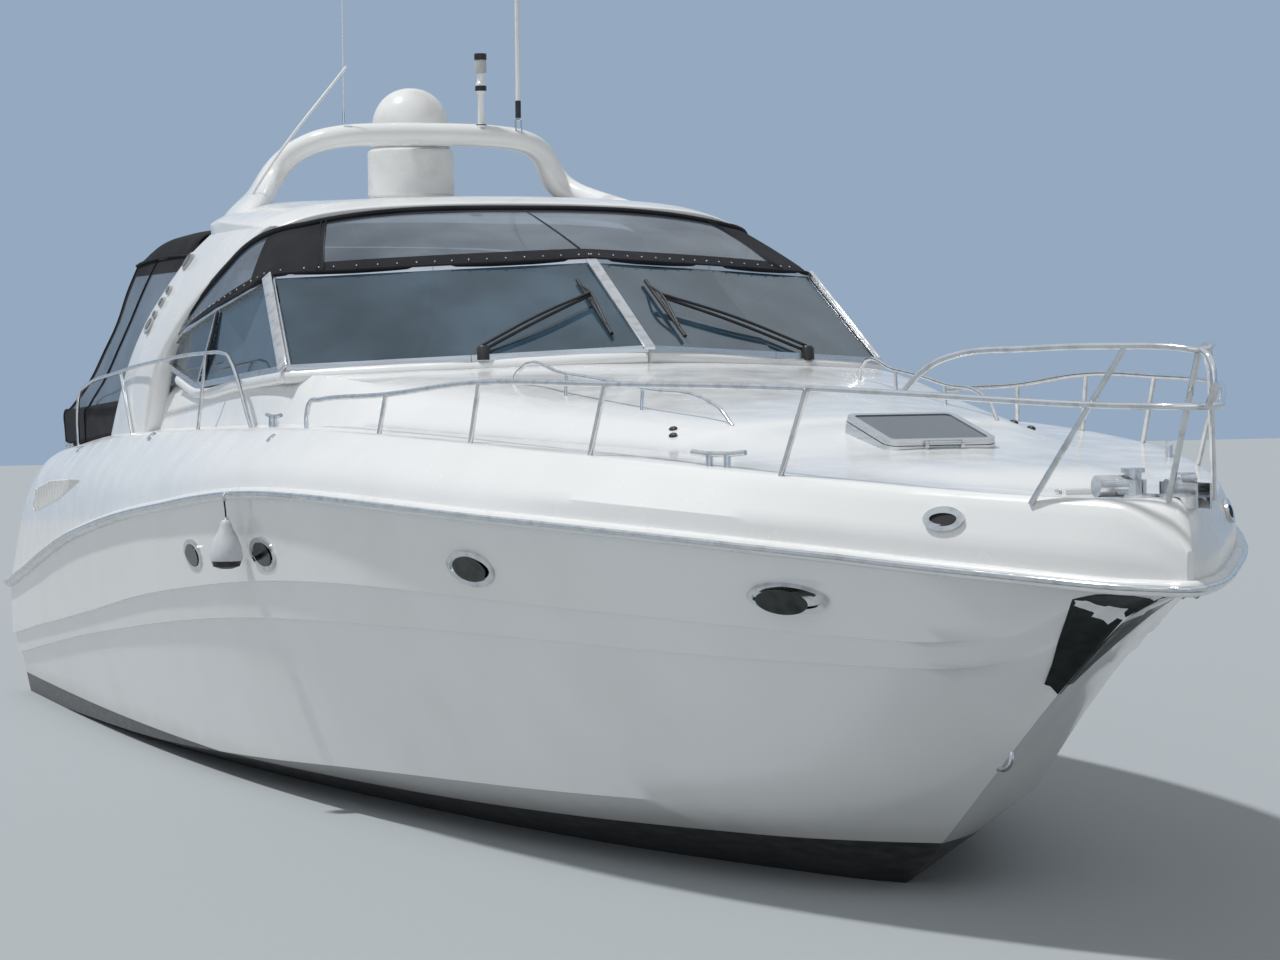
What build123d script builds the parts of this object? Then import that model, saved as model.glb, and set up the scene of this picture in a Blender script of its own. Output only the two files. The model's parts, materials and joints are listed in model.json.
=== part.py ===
"""Express cruiser afloat: hull, deck, arch, cockpit, rails and running gear, one STEP file a piece.

Millimetres, +X to the bow, +Y to port, +Z up. The origin is amidships on the waterline.
"""

import os
from collections import namedtuple

from build123d import *

os.makedirs("parts", exist_ok=True)

# Hull and deck, one row a station. Half-breadths are y_, heights z_, all from the waterline origin.
Station = namedtuple(
    "Station",
    "x z_keel y_chine z_chine z_low z_high y_rail z_rail y_edge z_edge y_side z_side y_top z_top z_crown",
)
STATIONS = [
    Station(-6450, -560, 1740, -30, 270, 400, 1872, 745, 1690, 810, 1640, 812, 1500, 812, 812),
    Station(-5900, -590, 1752, -20, 325, 455, 1912, 822, 1680, 1290, 1630, 1292, 1500, 1292, 1292),
    Station(-5450, -605, 1760, -8, 380, 510, 1938, 888, 1690, 1560, 1640, 1570, 1560, 1580, 1580),
    Station(-5000, -615, 1770, 5, 430, 560, 1965, 960, 1705, 1660, 1650, 1672, 1580, 1700, 1700),
    Station(-4400, -630, 1780, 20, 500, 620, 1992, 1062, 1745, 1732, 1665, 1745, 1600, 1800, 1800),
    Station(-3600, -650, 1785, 38, 590, 715, 2023, 1185, 1775, 1790, 1675, 1802, 1610, 1930, 1930),
    Station(-3000, -660, 1782, 52, 650, 780, 2038, 1260, 1790, 1812, 1678, 1824, 1612, 2080, 2080),
    Station(-2300, -662, 1770, 72, 720, 872, 2050, 1340, 1803, 1832, 1680, 1845, 1615, 2130, 2130),
    Station(-1600, -660, 1750, 100, 790, 955, 2053, 1409, 1807, 1850, 1682, 1862, 1615, 2090, 2100),
    Station(-800, -645, 1718, 142, 862, 1030, 2050, 1476, 1804, 1870, 1680, 1882, 1615, 2130, 2140),
    Station(0, -612, 1668, 185, 925, 1102, 2034, 1542, 1790, 1888, 1672, 1900, 1610, 2176, 2200),
    Station(800, -558, 1590, 236, 972, 1160, 1995, 1588, 1756, 1900, 1630, 1912, 1480, 2130, 2262),
    Station(1600, -490, 1465, 274, 1000, 1192, 1923, 1598, 1692, 1891, 1530, 1905, 1290, 2060, 2202),
    Station(2200, -415, 1335, 296, 1016, 1200, 1842, 1590, 1621, 1877, 1410, 1892, 1110, 2018, 2138),
    Station(2800, -320, 1160, 312, 1026, 1194, 1733, 1575, 1525, 1858, 1230, 1874, 920, 1984, 2072),
    Station(3400, -185, 925, 330, 1026, 1185, 1593, 1557, 1402, 1835, 1020, 1851, 730, 1954, 2006),
    Station(3700, -120, 790, 340, 1024, 1180, 1508, 1548, 1327, 1825, 930, 1841, 640, 1938, 1974),
    Station(3730, -112, 775, 341, 1024, 1180, 1499, 1547, 1319, 1824, 925, 1838, 630, 1914, 1952),
    Station(4000, -45, 640, 355, 1021, 1175, 1414, 1537, 1244, 1812, 860, 1826, 560, 1880, 1940),
    Station(4500, 275, 300, 400, 1012, 1155, 1230, 1515, 1082, 1785, 690, 1797, 400, 1812, 1824),
    Station(4900, 550, 60, 585, 1006, 1132, 1058, 1493, 931, 1763, 560, 1774, 330, 1796, 1808),
    Station(5300, 820, 35, 855, 1000, 1112, 858, 1468, 755, 1742, 430, 1742, 230, 1772, 1782),
    Station(5480, 935, 31, 965, 1055, 1140, 762, 1454, 668, 1731, 370, 1722, 190, 1712, 1710),
    Station(5650, 1040, 28, 1070, 1105, 1165, 660, 1440, 571, 1720, 320, 1712, 170, 1696, 1692),
    Station(6000, 1250, 20, 1268, 1290, 1320, 425, 1412, 336, 1700, 210, 1694, 110, 1682, 1680),
    Station(6200, 1318, 16, 1326, 1338, 1350, 282, 1395, 190, 1694, 120, 1696, 70, 1696, 1696),
    Station(6300, 1345, 12, 1352, 1360, 1368, 200, 1387, 112, 1680, 66, 1696, 34, 1702, 1704),
    Station(6390, 1359, 8, 1362, 1366, 1371, 112, 1383, 66, 1608, 46, 1640, 26, 1650, 1654),
    Station(6450, 1366, 5, 1368, 1370, 1374, 46, 1381, 32, 1552, 24, 1564, 12, 1568, 1570),
    Station(6485, 1370, 3, 1371, 1373, 1376, 14, 1381, 10, 1506, 8, 1512, 4, 1514, 1515),
]
KNUCKLE_UP = 106  # the gunwale's knuckle stands this far above the rub rail at the bow
JOG = 12  # each moulded line on the side steps out by this
FLARE = 0.82  # exponent of the side's outward run from chine to rail

# Cockpit, transom and swim platform
COCKPIT_AFT_X = -5150
COCKPIT_HALF_Y = 1420
SOLE_Z = 820
SOLE_THICK = 40
PLATFORM_Z = 690
PLATFORM_THICK = 45
PLATFORM_AFT_X = -6560
TRANSOM_X = -5500

# Engine bay and the engines in it
BAY_X = (-5000, -2700)
BAY_HALF_Y = 1240
BAY_FLOOR_Z = -60
ENGINE = (1150, 780, 720)
ENGINE_X = -3900
ENGINE_Y = 620
HATCH_X = (-4700, -3150)
HATCH_HALF_Y = 760

# Windshield, corner and centre points (x, y, z)
SCREEN_FOOT_MID = (1010, 0, 2268)
SCREEN_FOOT_CORNER = (150, 1633, 2190)
SCREEN_TOP_MID = (147, 0, 2724)
SCREEN_TOP_CORNER = (-550, 1534, 2664)
GLASS = 8
FRAME = 34

# Arch: one row a height, front and aft x, outer y, wall across
ArchRow = namedtuple("ArchRow", "z x_front x_aft y_out wall")
ARCH_LEG = [
    ArchRow(1830, -2650, -3560, 1770, 150),
    ArchRow(2130, -2560, -3330, 1745, 140),
    ArchRow(2300, -2350, -3180, 1715, 130),
    ArchRow(2480, -2080, -3030, 1665, 120),
    ArchRow(2640, -1760, -2860, 1600, 120),
    ArchRow(2840, -1330, -2670, 1500, 130),
    ArchRow(2960, -1130, -2520, 1400, 170),
]
ARCH_TOP_Z = 3090
ARCH_TOP_THICK = 95
ARCH_TOP_HALF_Y = 1360
ARCH_TOP_X = (-3380, -1010)
HOOP_X = -2620
HOOP_HALF_Y = 950
HOOP_TOP_Z = 3575
HOOP_TUBE = (200, 120)
DOME_X = -3080
DOME_R = 278
DOME_TOP_Z = 3870

# Rails
RailPost = namedtuple("RailPost", "x y z top_x top_y top_z")
BOW_POSTS = [
    RailPost(845, 1720, 1899, 830, 1712, 1985),
    RailPost(1820, 1640, 1885, 1870, 1615, 2066),
    RailPost(2776, 1500, 1858, 2860, 1480, 2122),
    RailPost(3748, 1290, 1823, 3900, 1270, 2116),
    RailPost(4900, 915, 1763, 5120, 890, 2098),
]
RAIL_R = 12.5
PULPIT_NOSE = [(5800, 600, 2065), (6100, 440, 2046), (6300, 330, 2036), (6480, 205, 2032), (6580, 95, 2030)]
PULPIT_TIP = (6620, 0, 2030)
PULPIT_TOP = [
    (5500, 664, 2078),
    (5555, 606, 2160),
    (5650, 540, 2213),
    (5950, 360, 2240),
    (6330, 170, 2245),
    (6500, 80, 2240),
]
PULPIT_TOP_TIP = (6575, 0, 2228)
PULPIT_DROP = [(6575, 0, 2226), (6632, 0, 2198), (6660, 0, 2130), (6652, 0, 2075), (6622, 0, 2034)]
GATE_RAIL = [
    (-70, 1765, 1850),
    (-160, 1760, 1930),
    (-700, 1725, 2245),
    (-860, 1720, 2272),
    (-1175, 1738, 2275),
    (-2200, 1775, 2235),
    (-3330, 1782, 2166),
    (-4350, 1765, 2078),
    (-4620, 1745, 2020),
    (-4700, 1740, 1920),
    (-4710, 1735, 1680),
]
GATE_POSTS = [
    ((-1280, 1765, 1830), (-1175, 1738, 2275)),
    ((-2840, 1790, 1780), (-3190, 1781, 2174)),
    ((-110, 1750, 1850), (-560, 1712, 2128)),
]
TRUNK_RAIL = [
    (1560, 905, 2070),
    (1620, 890, 2165),
    (2150, 830, 2150),
    (2900, 735, 2086),
    (3560, 640, 2010),
    (3680, 620, 1900),
]
TRUNK_POSTS = [(2150, 830), (2900, 735)]
Porthole = namedtuple("Porthole", "x z long tall")
PORTHOLES = [
    Porthole(-390, 1228, 300, 170),
    Porthole(830, 1291, 330, 172),
    Porthole(3070, 1326, 372, 168),
    Porthole(4900, 1282, 400, 150),
]
HAWSE = (5710, 617, 1612)

# Running gear
SHAFT_Y = 620
SHAFT_TILT = 10
PROP_X = -5000
PROP_Z = -745
PROP_R = 275
RUDDER_X = -5560
RUDDER_TOP_Z = -400
RUDDER_BOTTOM_Z = -980
STOCK_R = 19
SHAFT_R = 22

# Pins: the radius of a hinge's pin and barrel, and the running gap round a pin or shaft
PIN_R = 4
BARREL_R = 9
PIN_GAP = 0.5


def lerp_station(x):
    """The station row at any x, straight between the two rows beside it."""
    for near, far in zip(STATIONS, STATIONS[1:]):
        if near.x <= x <= far.x:
            share = (x - near.x) / (far.x - near.x)
            return Station(*[a + (b - a) * share for a, b in zip(near, far)])
    return STATIONS[0] if x < STATIONS[0].x else STATIONS[-1]


def side_y(row, z):
    """Half-breadth of the hull's side at height z."""
    share = min(max((z - row.z_chine) / (row.z_rail - row.z_chine), 0), 1)
    return row.y_chine + (row.y_rail - row.y_chine) * share**FLARE


def hull_y(row, z):
    """Half-breadth of the hull's skin at height z, its moulded steps included."""
    steps = 0 if z < row.z_low else 1 if z < row.z_high else 2
    return side_y(row, z) + steps * (JOG if row.x < 5400 else JOG / 6)


def gunwale_z(row):
    """Height of the gunwale's knuckle: a fixed step at the bow, higher up the taller side aft."""
    tall = row.z_edge - row.z_rail
    return row.z_rail + min(KNUCKLE_UP, 0.42 * tall) if row.x > 3000 else row.z_rail + 0.42 * tall


def mirrored(points):
    """Starboard points, then the same to port, for one closed section."""
    return points + [(-y, z) for y, z in reversed(points) if y != 0]


def bar(start, end, wide, deep, up=(0, 0, 1)):
    """A straight bar of rectangular section between two points."""
    a, b = Vector(start), Vector(end)
    along = (b - a).normalized()
    plane = Plane(origin=a, x_dir=along.cross(Vector(*up)).normalized(), z_dir=along)
    corner = a - plane.x_dir * (wide / 2) - plane.y_dir * (deep / 2)
    placed = Plane(origin=corner, x_dir=plane.x_dir, z_dir=along)
    return Solid.make_box(wide, deep, (b - a).length, placed)


def rod(start, end, radius):
    """A straight round rod between two points."""
    a, b = Vector(start), Vector(end)
    return Solid.make_cylinder(
        radius, (b - a).length, Plane(origin=a, z_dir=(b - a).normalized())
    )


def pipe(points, radius, sides=12):
    """A bent tube through the points: one straight solid a stretch, mitred at each bend."""
    spots = [Vector(*p) for p in points]
    runs = [(b - a).normalized() for a, b in zip(spots, spots[1:])]
    start = Plane(origin=spots[0], z_dir=runs[0])
    ring = [
        start.from_local_coords(Vector(radius, 0, 0).rotate(Axis.Z, 360 * i / sides))
        for i in range(sides)
    ]
    solids = []
    for i, run in enumerate(runs):
        onward = runs[i + 1] if i + 1 < len(runs) else run
        normal = (run + onward).normalized()
        far = [p + run * ((spots[i + 1] - p).dot(normal) / run.dot(normal)) for p in ring]
        solids.append(ruled([[tuple(p) for p in ring], [tuple(p) for p in far]]))
        ring = far
    return solids


def standing(solid, *bases):
    """The largest piece of a solid left clear of the shapes it stands on."""
    left = solid.cut(*bases)
    pieces = left if isinstance(left, list) else left.solids()
    return max(pieces, key=lambda piece: piece.volume)


def block(low, high):
    """A box between its lowest and highest corners."""
    long, wide, tall = (b - a for a, b in zip(low, high))
    return Solid.make_box(long, wide, tall, Plane(origin=low))


def hinge(centre, half, knuckle, along=(0, 1, 0)):
    """A hinge's own solids about its axis: fixed pin and knuckles, and the barrel that turns.

    The barrel lies within half each way of the centre, the two knuckles beyond it.
    """
    mid, run = Vector(*centre), Vector(*along)
    far = half + 2 + knuckle
    pin = rod(mid - run * far, mid + run * far, PIN_R)
    knuckles = [
        rod(mid + run * (side * (half + 2)), mid + run * (side * far), BARREL_R)
        for side in (-1, 1)
    ]
    barrel = rod(mid - run * half, mid + run * half, BARREL_R)
    bore = rod(mid - run * (half + 1), mid + run * (half + 1), PIN_R + PIN_GAP)
    return [pin] + knuckles, barrel, bore


def ruled(sections):
    """One solid straight between closed polygons, each a list of (x, y, z)."""
    return Solid.make_loft(
        [Wire.make_polygon([Vector(*p) for p in points]) for points in sections], True
    )


def hull_half(row):
    """The hull's starboard half-section at a station, keel to rub rail, as (y, z)."""
    low_y = side_y(row, row.z_low)
    high_y = side_y(row, row.z_high)
    jog = JOG if row.x < 5400 else JOG / 6
    return [
        (0, row.z_keel),
        (row.y_chine, row.z_chine),
        (low_y, row.z_low),
        (low_y + jog, row.z_low + 3),
        (high_y + jog, row.z_high),
        (high_y + 2 * jog, row.z_high + 3),
        (row.y_rail, row.z_rail),
    ]


def deck_half(row):
    """The deck moulding's starboard half-section, rub rail to crown, as (y, z)."""
    flare = (4 if row.x < 6400 else 0) - 16 * (row.x < 4000)
    return [
        (row.y_rail, row.z_rail),
        (row.y_rail + flare, gunwale_z(row)),
        (row.y_edge + min(30, 0.5 * (row.y_rail - row.y_edge)), row.z_edge - 22),
        (row.y_edge, row.z_edge),
        (row.y_side, row.z_side),
        (row.y_top, row.z_top),
        (0, row.z_crown),
    ]


HULL_HALVES = [hull_half(row) for row in STATIONS]
DECK_HALVES = [deck_half(row) for row in STATIONS]


def half_at(halves, x):
    """A half-section at any x, straight between the two stations beside it."""
    for i in range(len(STATIONS) - 1):
        near, far = STATIONS[i].x, STATIONS[i + 1].x
        if near <= x <= far:
            share = (x - near) / (far - near)
            return [
                (a[0] + (b[0] - a[0]) * share, a[1] + (b[1] - a[1]) * share)
                for a, b in zip(halves[i], halves[i + 1])
            ]
    return halves[0] if x < STATIONS[0].x else halves[-1]


def stretch_of(halves, low, high, side=0):
    """The part of a moulding between two x, for cutting what stands on it; side 0 is both."""
    low, high = max(low, STATIONS[0].x), min(high, STATIONS[-1].x)
    xs = [low] + [row.x for row in STATIONS if low < row.x < high] + [high]
    sections = []
    for x in xs:
        half = half_at(halves, x)
        if side:
            ring = [(y * side, z) for y, z in half]
            ring.append((0, half[0][1] if half[-1][0] == 0 else half[-1][1]))
        else:
            ring = mirrored(half)
        sections.append([(x, y, z) for y, z in ring])
    return ruled(sections)


def deck_under(x, y, reach=130):
    """The stretch of deck about a fitting."""
    side = 0 if abs(y) < 60 else 1 if y > 0 else -1
    return stretch_of(DECK_HALVES, x - reach, x + reach, side)


def hull_beside(x, side, reach=280):
    """The stretch of hull about a fitting."""
    return stretch_of(HULL_HALVES, x - reach, x + reach, side)


# Hull
with BuildPart() as hull:
    add(ruled([[(r.x, y, z) for y, z in mirrored(h)] for r, h in zip(STATIONS, HULL_HALVES)]))

# Deck moulding: gunwales, side decks, foredeck and coamings
with BuildPart() as deck:
    add(ruled([[(r.x, y, z) for y, z in mirrored(h)] for r, h in zip(STATIONS, DECK_HALVES)]))

COCKPIT_PLAN = [
    (COCKPIT_AFT_X, -COCKPIT_HALF_Y),
    (-60, -COCKPIT_HALF_Y),
    (420, -900),
    (600, 0),
    (420, 900),
    (-60, COCKPIT_HALF_Y),
    (COCKPIT_AFT_X, COCKPIT_HALF_Y),
]
with BuildPart() as cockpit_well:
    with BuildSketch(Plane.XY.offset(SOLE_Z - SOLE_THICK)):
        with BuildLine():
            Polyline(*COCKPIT_PLAN, close=True)
        make_face()
    extrude(amount=2200)
    # the way out to the swim platform, behind the transom door
    with Locations((TRANSOM_X, 1010, SOLE_Z - SOLE_THICK)):
        Box(1000, 580, 1600, align=(Align.CENTER, Align.CENTER, Align.MIN))
with BuildPart() as platform_well:
    with Locations((TRANSOM_X, 0, PLATFORM_Z - PLATFORM_THICK)):
        Box(2000, 3080, 2000, align=(Align.MAX, Align.CENTER, Align.MIN))
with BuildPart() as companionway:
    with Locations((300, 620, SOLE_Z)):
        Box(1100, 620, 1180, align=(Align.MIN, Align.CENTER, Align.MIN))

with hull:
    add(cockpit_well.part, mode=Mode.SUBTRACT)
    add(platform_well.part, mode=Mode.SUBTRACT)
    add(companionway.part, mode=Mode.SUBTRACT)
    with Locations(((BAY_X[0] + BAY_X[1]) / 2, 0, BAY_FLOOR_Z)):
        Box(
            BAY_X[1] - BAY_X[0],
            2 * BAY_HALF_Y,
            SOLE_Z - BAY_FLOOR_Z,
            align=(Align.CENTER, Align.CENTER, Align.MIN),
            mode=Mode.SUBTRACT,
        )
    # ports the rudder stocks turn in
    with Locations((RUDDER_X, -SHAFT_Y, -700), (RUDDER_X, SHAFT_Y, -700)):
        Cylinder(
            STOCK_R + PIN_GAP,
            RUDDER_TOP_Z + 700 + 20,
            align=(Align.CENTER, Align.CENTER, Align.MIN),
            mode=Mode.SUBTRACT,
        )
with deck:
    add(cockpit_well.part, mode=Mode.SUBTRACT)
    add(platform_well.part, mode=Mode.SUBTRACT)
    add(companionway.part, mode=Mode.SUBTRACT)

with BuildPart() as swim_platform:
    with Locations((TRANSOM_X, 0, PLATFORM_Z - PLATFORM_THICK)):
        Box(
            TRANSOM_X - PLATFORM_AFT_X,
            3080,
            PLATFORM_THICK,
            align=(Align.MAX, Align.CENTER, Align.MIN),
        )
    fillet(swim_platform.edges().filter_by(Axis.Z).group_by(Axis.X)[0], 40)

# Rub rail: mitred bands square to its own line, so it keeps its width round the bow
band = [Vector(row.x, row.y_rail, row.z_rail) for row in STATIONS[:-1]]
band += [Vector(6478, 22, 1381), Vector(6486, 0, 1381)]
rub_line = [Vector(p.X, -p.Y, p.Z) for p in band] + list(reversed(band[:-1]))
sections = []
for i, spot in enumerate(rub_line):
    before = rub_line[max(i - 1, 0)]
    after = rub_line[min(i + 1, len(rub_line) - 1)]
    flat = Vector((after - before).X, (after - before).Y, 0).normalized()
    out = Vector(flat.Y, -flat.X, 0)
    ring = []
    for reach, up in ((-8, -26), (30, -18), (40, 0), (30, 18), (-8, 26)):
        p = spot + out * reach + Vector(0, 0, up)
        ring.append((p.X, p.Y, p.Z))
    sections.append(ring)
TIP = len(band) - 1
rub_solids = []
for first, last in ((0, 8), (8, 15), (15, 20), (20, 24), (24, 27), (27, TIP)):
    for low in (first, 2 * TIP - last):
        stretch = ruled(sections[low : low + last - first + 1])
        side = -1 if low == first else 1
        span = (rub_line[first].X - 60, rub_line[last].X + 60, side)
        beside = (stretch_of(HULL_HALVES, *span), stretch_of(DECK_HALVES, *span))
        rub_solids.append(standing(stretch, *beside))
rub_rail = Compound(children=rub_solids)


# Cockpit sole with its engine hatch, and the engines below it
HATCH_GAP = 6
with BuildPart() as cockpit_sole:
    with BuildSketch(Plane.XY.offset(SOLE_Z - SOLE_THICK)):
        with BuildLine():
            Polyline(*COCKPIT_PLAN, close=True)
        make_face()
    extrude(amount=SOLE_THICK)
    with Locations(((HATCH_X[0] + HATCH_X[1]) / 2, 0, SOLE_Z)):
        Box(
            HATCH_X[1] - HATCH_X[0] + 2 * HATCH_GAP,
            2 * (HATCH_HALF_Y + HATCH_GAP),
            3 * SOLE_THICK,
            mode=Mode.SUBTRACT,
        )
    add(deck.part, mode=Mode.SUBTRACT)
    add(hull.part, mode=Mode.SUBTRACT)
    # hinge knuckles at the hatch's forward edge, and the companionway door's track
    HATCH_AXIS = (HATCH_X[1] + 3, 0, SOLE_Z + 11)
    fixed, hatch_barrel, hatch_bore = hinge(HATCH_AXIS, 500, 36)
    add(fixed)
    for y in (502, -538):
        add(block((HATCH_AXIS[0] + 4, y, SOLE_Z - 10), (HATCH_AXIS[0] + 26, y + 36, SOLE_Z + 12)))
    add(block((250, -330, SOLE_Z - 5), (262, 950, SOLE_Z + 12)))
    add(hull.part, mode=Mode.SUBTRACT)
    add(deck.part, mode=Mode.SUBTRACT)
    for scrap in cockpit_sole.solids().sort_by(SortBy.VOLUME)[:-1]:
        add(scrap, mode=Mode.SUBTRACT)
with BuildPart() as engine_hatch:
    with Locations(((HATCH_X[0] + HATCH_X[1]) / 2, 0, SOLE_Z - SOLE_THICK)):
        Box(
            HATCH_X[1] - HATCH_X[0],
            2 * HATCH_HALF_Y,
            SOLE_THICK - 4,
            align=(Align.CENTER, Align.CENTER, Align.MIN),
        )
    add(block((HATCH_X[1] - 60, -490, SOLE_Z - 8), (HATCH_X[1] - 4, 490, SOLE_Z + 10)))
    add(hatch_barrel)
    add(hatch_bore, mode=Mode.SUBTRACT)


def engine_block(side):
    """One inboard as a plain block with its gearbox aft, on the bay's floor."""
    with BuildPart() as block:
        with Locations((ENGINE_X, side * ENGINE_Y, BAY_FLOOR_Z)):
            Box(*ENGINE, align=(Align.CENTER, Align.CENTER, Align.MIN))
        with Locations((ENGINE_X - ENGINE[0] / 2, side * ENGINE_Y, BAY_FLOOR_Z)):
            Box(320, 380, 420, align=(Align.MAX, Align.CENTER, Align.MIN))
    return block


engine_stbd = engine_block(-1)
engine_port = engine_block(1)

# Transom door, hung at its outboard edge
DOOR_Y = (726, 1294)
DOOR_X = -5230
with BuildPart() as transom_door:
    with Locations((DOOR_X, DOOR_Y[0], SOLE_Z + 8)):
        Box(
            45,
            DOOR_Y[1] - DOOR_Y[0],
            680,
            align=(Align.CENTER, Align.MIN, Align.MIN),
        )
    DOOR_AXIS = (DOOR_X + 27, 1289, 1200)
    fixed, door_barrel, door_bore = hinge(DOOR_AXIS, 200, 36, (0, 0, 1))
    for z in (958, 1398):
        low = (DOOR_AXIS[0] - 14, 1274, z)
        add(block(low, (DOOR_AXIS[0] + 14, 1300, z + 44)), mode=Mode.SUBTRACT)
    add(door_barrel)
    add(door_bore, mode=Mode.SUBTRACT)
with deck:
    add(fixed)
    for z in (962, 1402):
        add(block((DOOR_AXIS[0] - 8, 1289, z), (DOOR_AXIS[0] + 8, 1310, z + 36)))
with BuildPart() as companionway_door:
    with Locations((270, 300, SOLE_Z + 6)):
        Box(28, 640, 1150, align=(Align.MAX, Align.MIN, Align.MIN))
    # the groove that rides on the sole's track
    groove = block(
        (250 - PIN_GAP, 290, SOLE_Z),
        (262 + PIN_GAP, 950, SOLE_Z + 12 + PIN_GAP),
    )
    add(groove, mode=Mode.SUBTRACT)

# Helm to starboard, seats
with BuildPart() as helm_console:
    with BuildSketch(Plane.XZ.offset(320)):
        with BuildLine():
            Polyline(
                (-300, SOLE_Z),
                (-60, SOLE_Z),
                (-60, 2010),
                (-180, 2010),
                (-420, 1760),
                (-420, 1500),
                (-300, 1400),
                close=True,
            )
        make_face()
    extrude(amount=COCKPIT_HALF_Y - 320 - 4)
HELM_Y = -870
WHEEL_TILT = 40
WHEEL_AT = (-420, HELM_Y, 1720)
WHEEL_R = 190
wheel_plane = Plane(
    origin=WHEEL_AT,
    z_dir=Vector(-1, 0, 0).rotate(Axis.Y, WHEEL_TILT),
)
with BuildPart() as steering_wheel:
    with BuildSketch(wheel_plane.offset(150)):
        Circle(45)
    extrude(amount=40)
    with BuildPart(wheel_plane.offset(165), mode=Mode.ADD) as rim:
        Torus(WHEEL_R, 16)
    for turn in (0, 120, 240):
        with BuildPart(wheel_plane.offset(165), mode=Mode.ADD) as spoke:
            with Locations(Rotation(0, 0, turn)):
                with Locations((WHEEL_R / 2, 0, 0)):
                    Box(WHEEL_R, 34, 12)
    with BuildSketch(wheel_plane.offset(140)):
        Circle(12 + PIN_GAP)
    extrude(amount=60, mode=Mode.SUBTRACT)
with BuildPart() as wheel_boss:
    with BuildSketch(wheel_plane.offset(-60)):
        Circle(30)
    extrude(amount=205)
    with BuildSketch(wheel_plane.offset(100)):
        Circle(12)
    extrude(amount=94)
with helm_console:
    add(wheel_boss.part)

with BuildPart() as helm_seat:
    with Locations((-1150, HELM_Y, SOLE_Z)):
        Cylinder(130, 380, align=(Align.CENTER, Align.CENTER, Align.MIN))
    with Locations((-1150, HELM_Y, SOLE_Z + 380)):
        Box(560, 860, 190, align=(Align.CENTER, Align.CENTER, Align.MIN))
    with Locations((-1400, HELM_Y, SOLE_Z + 500)):
        Box(150, 860, 560, align=(Align.CENTER, Align.CENTER, Align.MIN))
with BuildPart() as cockpit_lounge:
    # a bench across the transom and one along the port side
    with Locations((COCKPIT_AFT_X, -COCKPIT_HALF_Y, SOLE_Z)):
        Box(430, 2100, 430, align=(Align.MIN, Align.MIN, Align.MIN))
        Box(130, 2100, 700, align=(Align.MIN, Align.MIN, Align.MIN))
    with Locations((-2900, COCKPIT_HALF_Y, SOLE_Z)):
        Box(2100, 560, 430, align=(Align.MIN, Align.MAX, Align.MIN))
        Box(2100, 120, 700, align=(Align.MIN, Align.MAX, Align.MIN))

# Windshield: two front panes with a bar between them, a curved side window each side
def screen_point(share, top):
    """A point of the windshield's foot or top line, share 0 at the middle and 1 at the corner."""
    mid = SCREEN_TOP_MID if top else SCREEN_FOOT_MID
    corner = SCREEN_TOP_CORNER if top else SCREEN_FOOT_CORNER
    bow = 0.10 * (mid[0] - corner[0]) * 4 * share * (1 - share)
    return (
        mid[0] + (corner[0] - mid[0]) * share**1.0 + bow,
        mid[1] + (corner[1] - mid[1]) * share,
        mid[2] + (corner[2] - mid[2]) * share,
    )


def pane(side, shares, inset):
    """One front pane between the named shares of the half-width."""
    sections = []
    for share in shares:
        foot = Vector(*screen_point(share, False))
        top = Vector(*screen_point(share, True))
        up = (top - foot).normalized()
        low = foot + up * inset
        high = top - up * inset
        out = Vector(up.Z, 0, -up.X) * GLASS
        sections.append(
            [(p.X, side * p.Y, p.Z) for p in (low, high, high + out, low + out)]
        )
    return ruled(sections)


SIDE_WINDOW = [
    (150, 1633, 2190),
    (-1780, 1640, 2096),
    (-2640, 1640, 2235),
    (-2150, 1628, 2400),
    (-1400, 1608, 2520),
    (-550, 1534, 2664),
]
with BuildPart() as windshield_port:
    add(pane(1, (0.012, 0.5, 0.985), 22))
with BuildPart() as windshield_stbd:
    add(pane(-1, (0.012, 0.5, 0.985), 22))


def side_glass(side):
    """The side window: a flat-sided plate behind the corner post, over the coaming."""
    with BuildPart() as glass:
        inner = [(x, side * (y - 14), z) for x, y, z in SIDE_WINDOW]
        outer = [(x, side * (y - 14 + GLASS), z) for x, y, z in SIDE_WINDOW]
        hub_in = (-900, side * (1600 - 14), 2330)
        hub_out = (-900, side * (1600 - 14 + GLASS), 2330)
        faces = []
        count = len(inner)
        for i in range(count):
            j = (i + 1) % count
            faces.append(Face(Wire.make_polygon([Vector(*p) for p in (inner[i], inner[j], hub_in)])))
            faces.append(Face(Wire.make_polygon([Vector(*p) for p in (outer[i], outer[j], hub_out)])))
            faces.append(
                Face(Wire.make_polygon([Vector(*p) for p in (inner[i], inner[j], outer[j])]))
            )
            faces.append(
                Face(Wire.make_polygon([Vector(*p) for p in (inner[i], outer[j], outer[i])]))
            )
        add(Solid(Shell(faces)))
    return glass


side_glass_stbd = side_glass(-1)
side_glass_port = side_glass(1)

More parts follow.
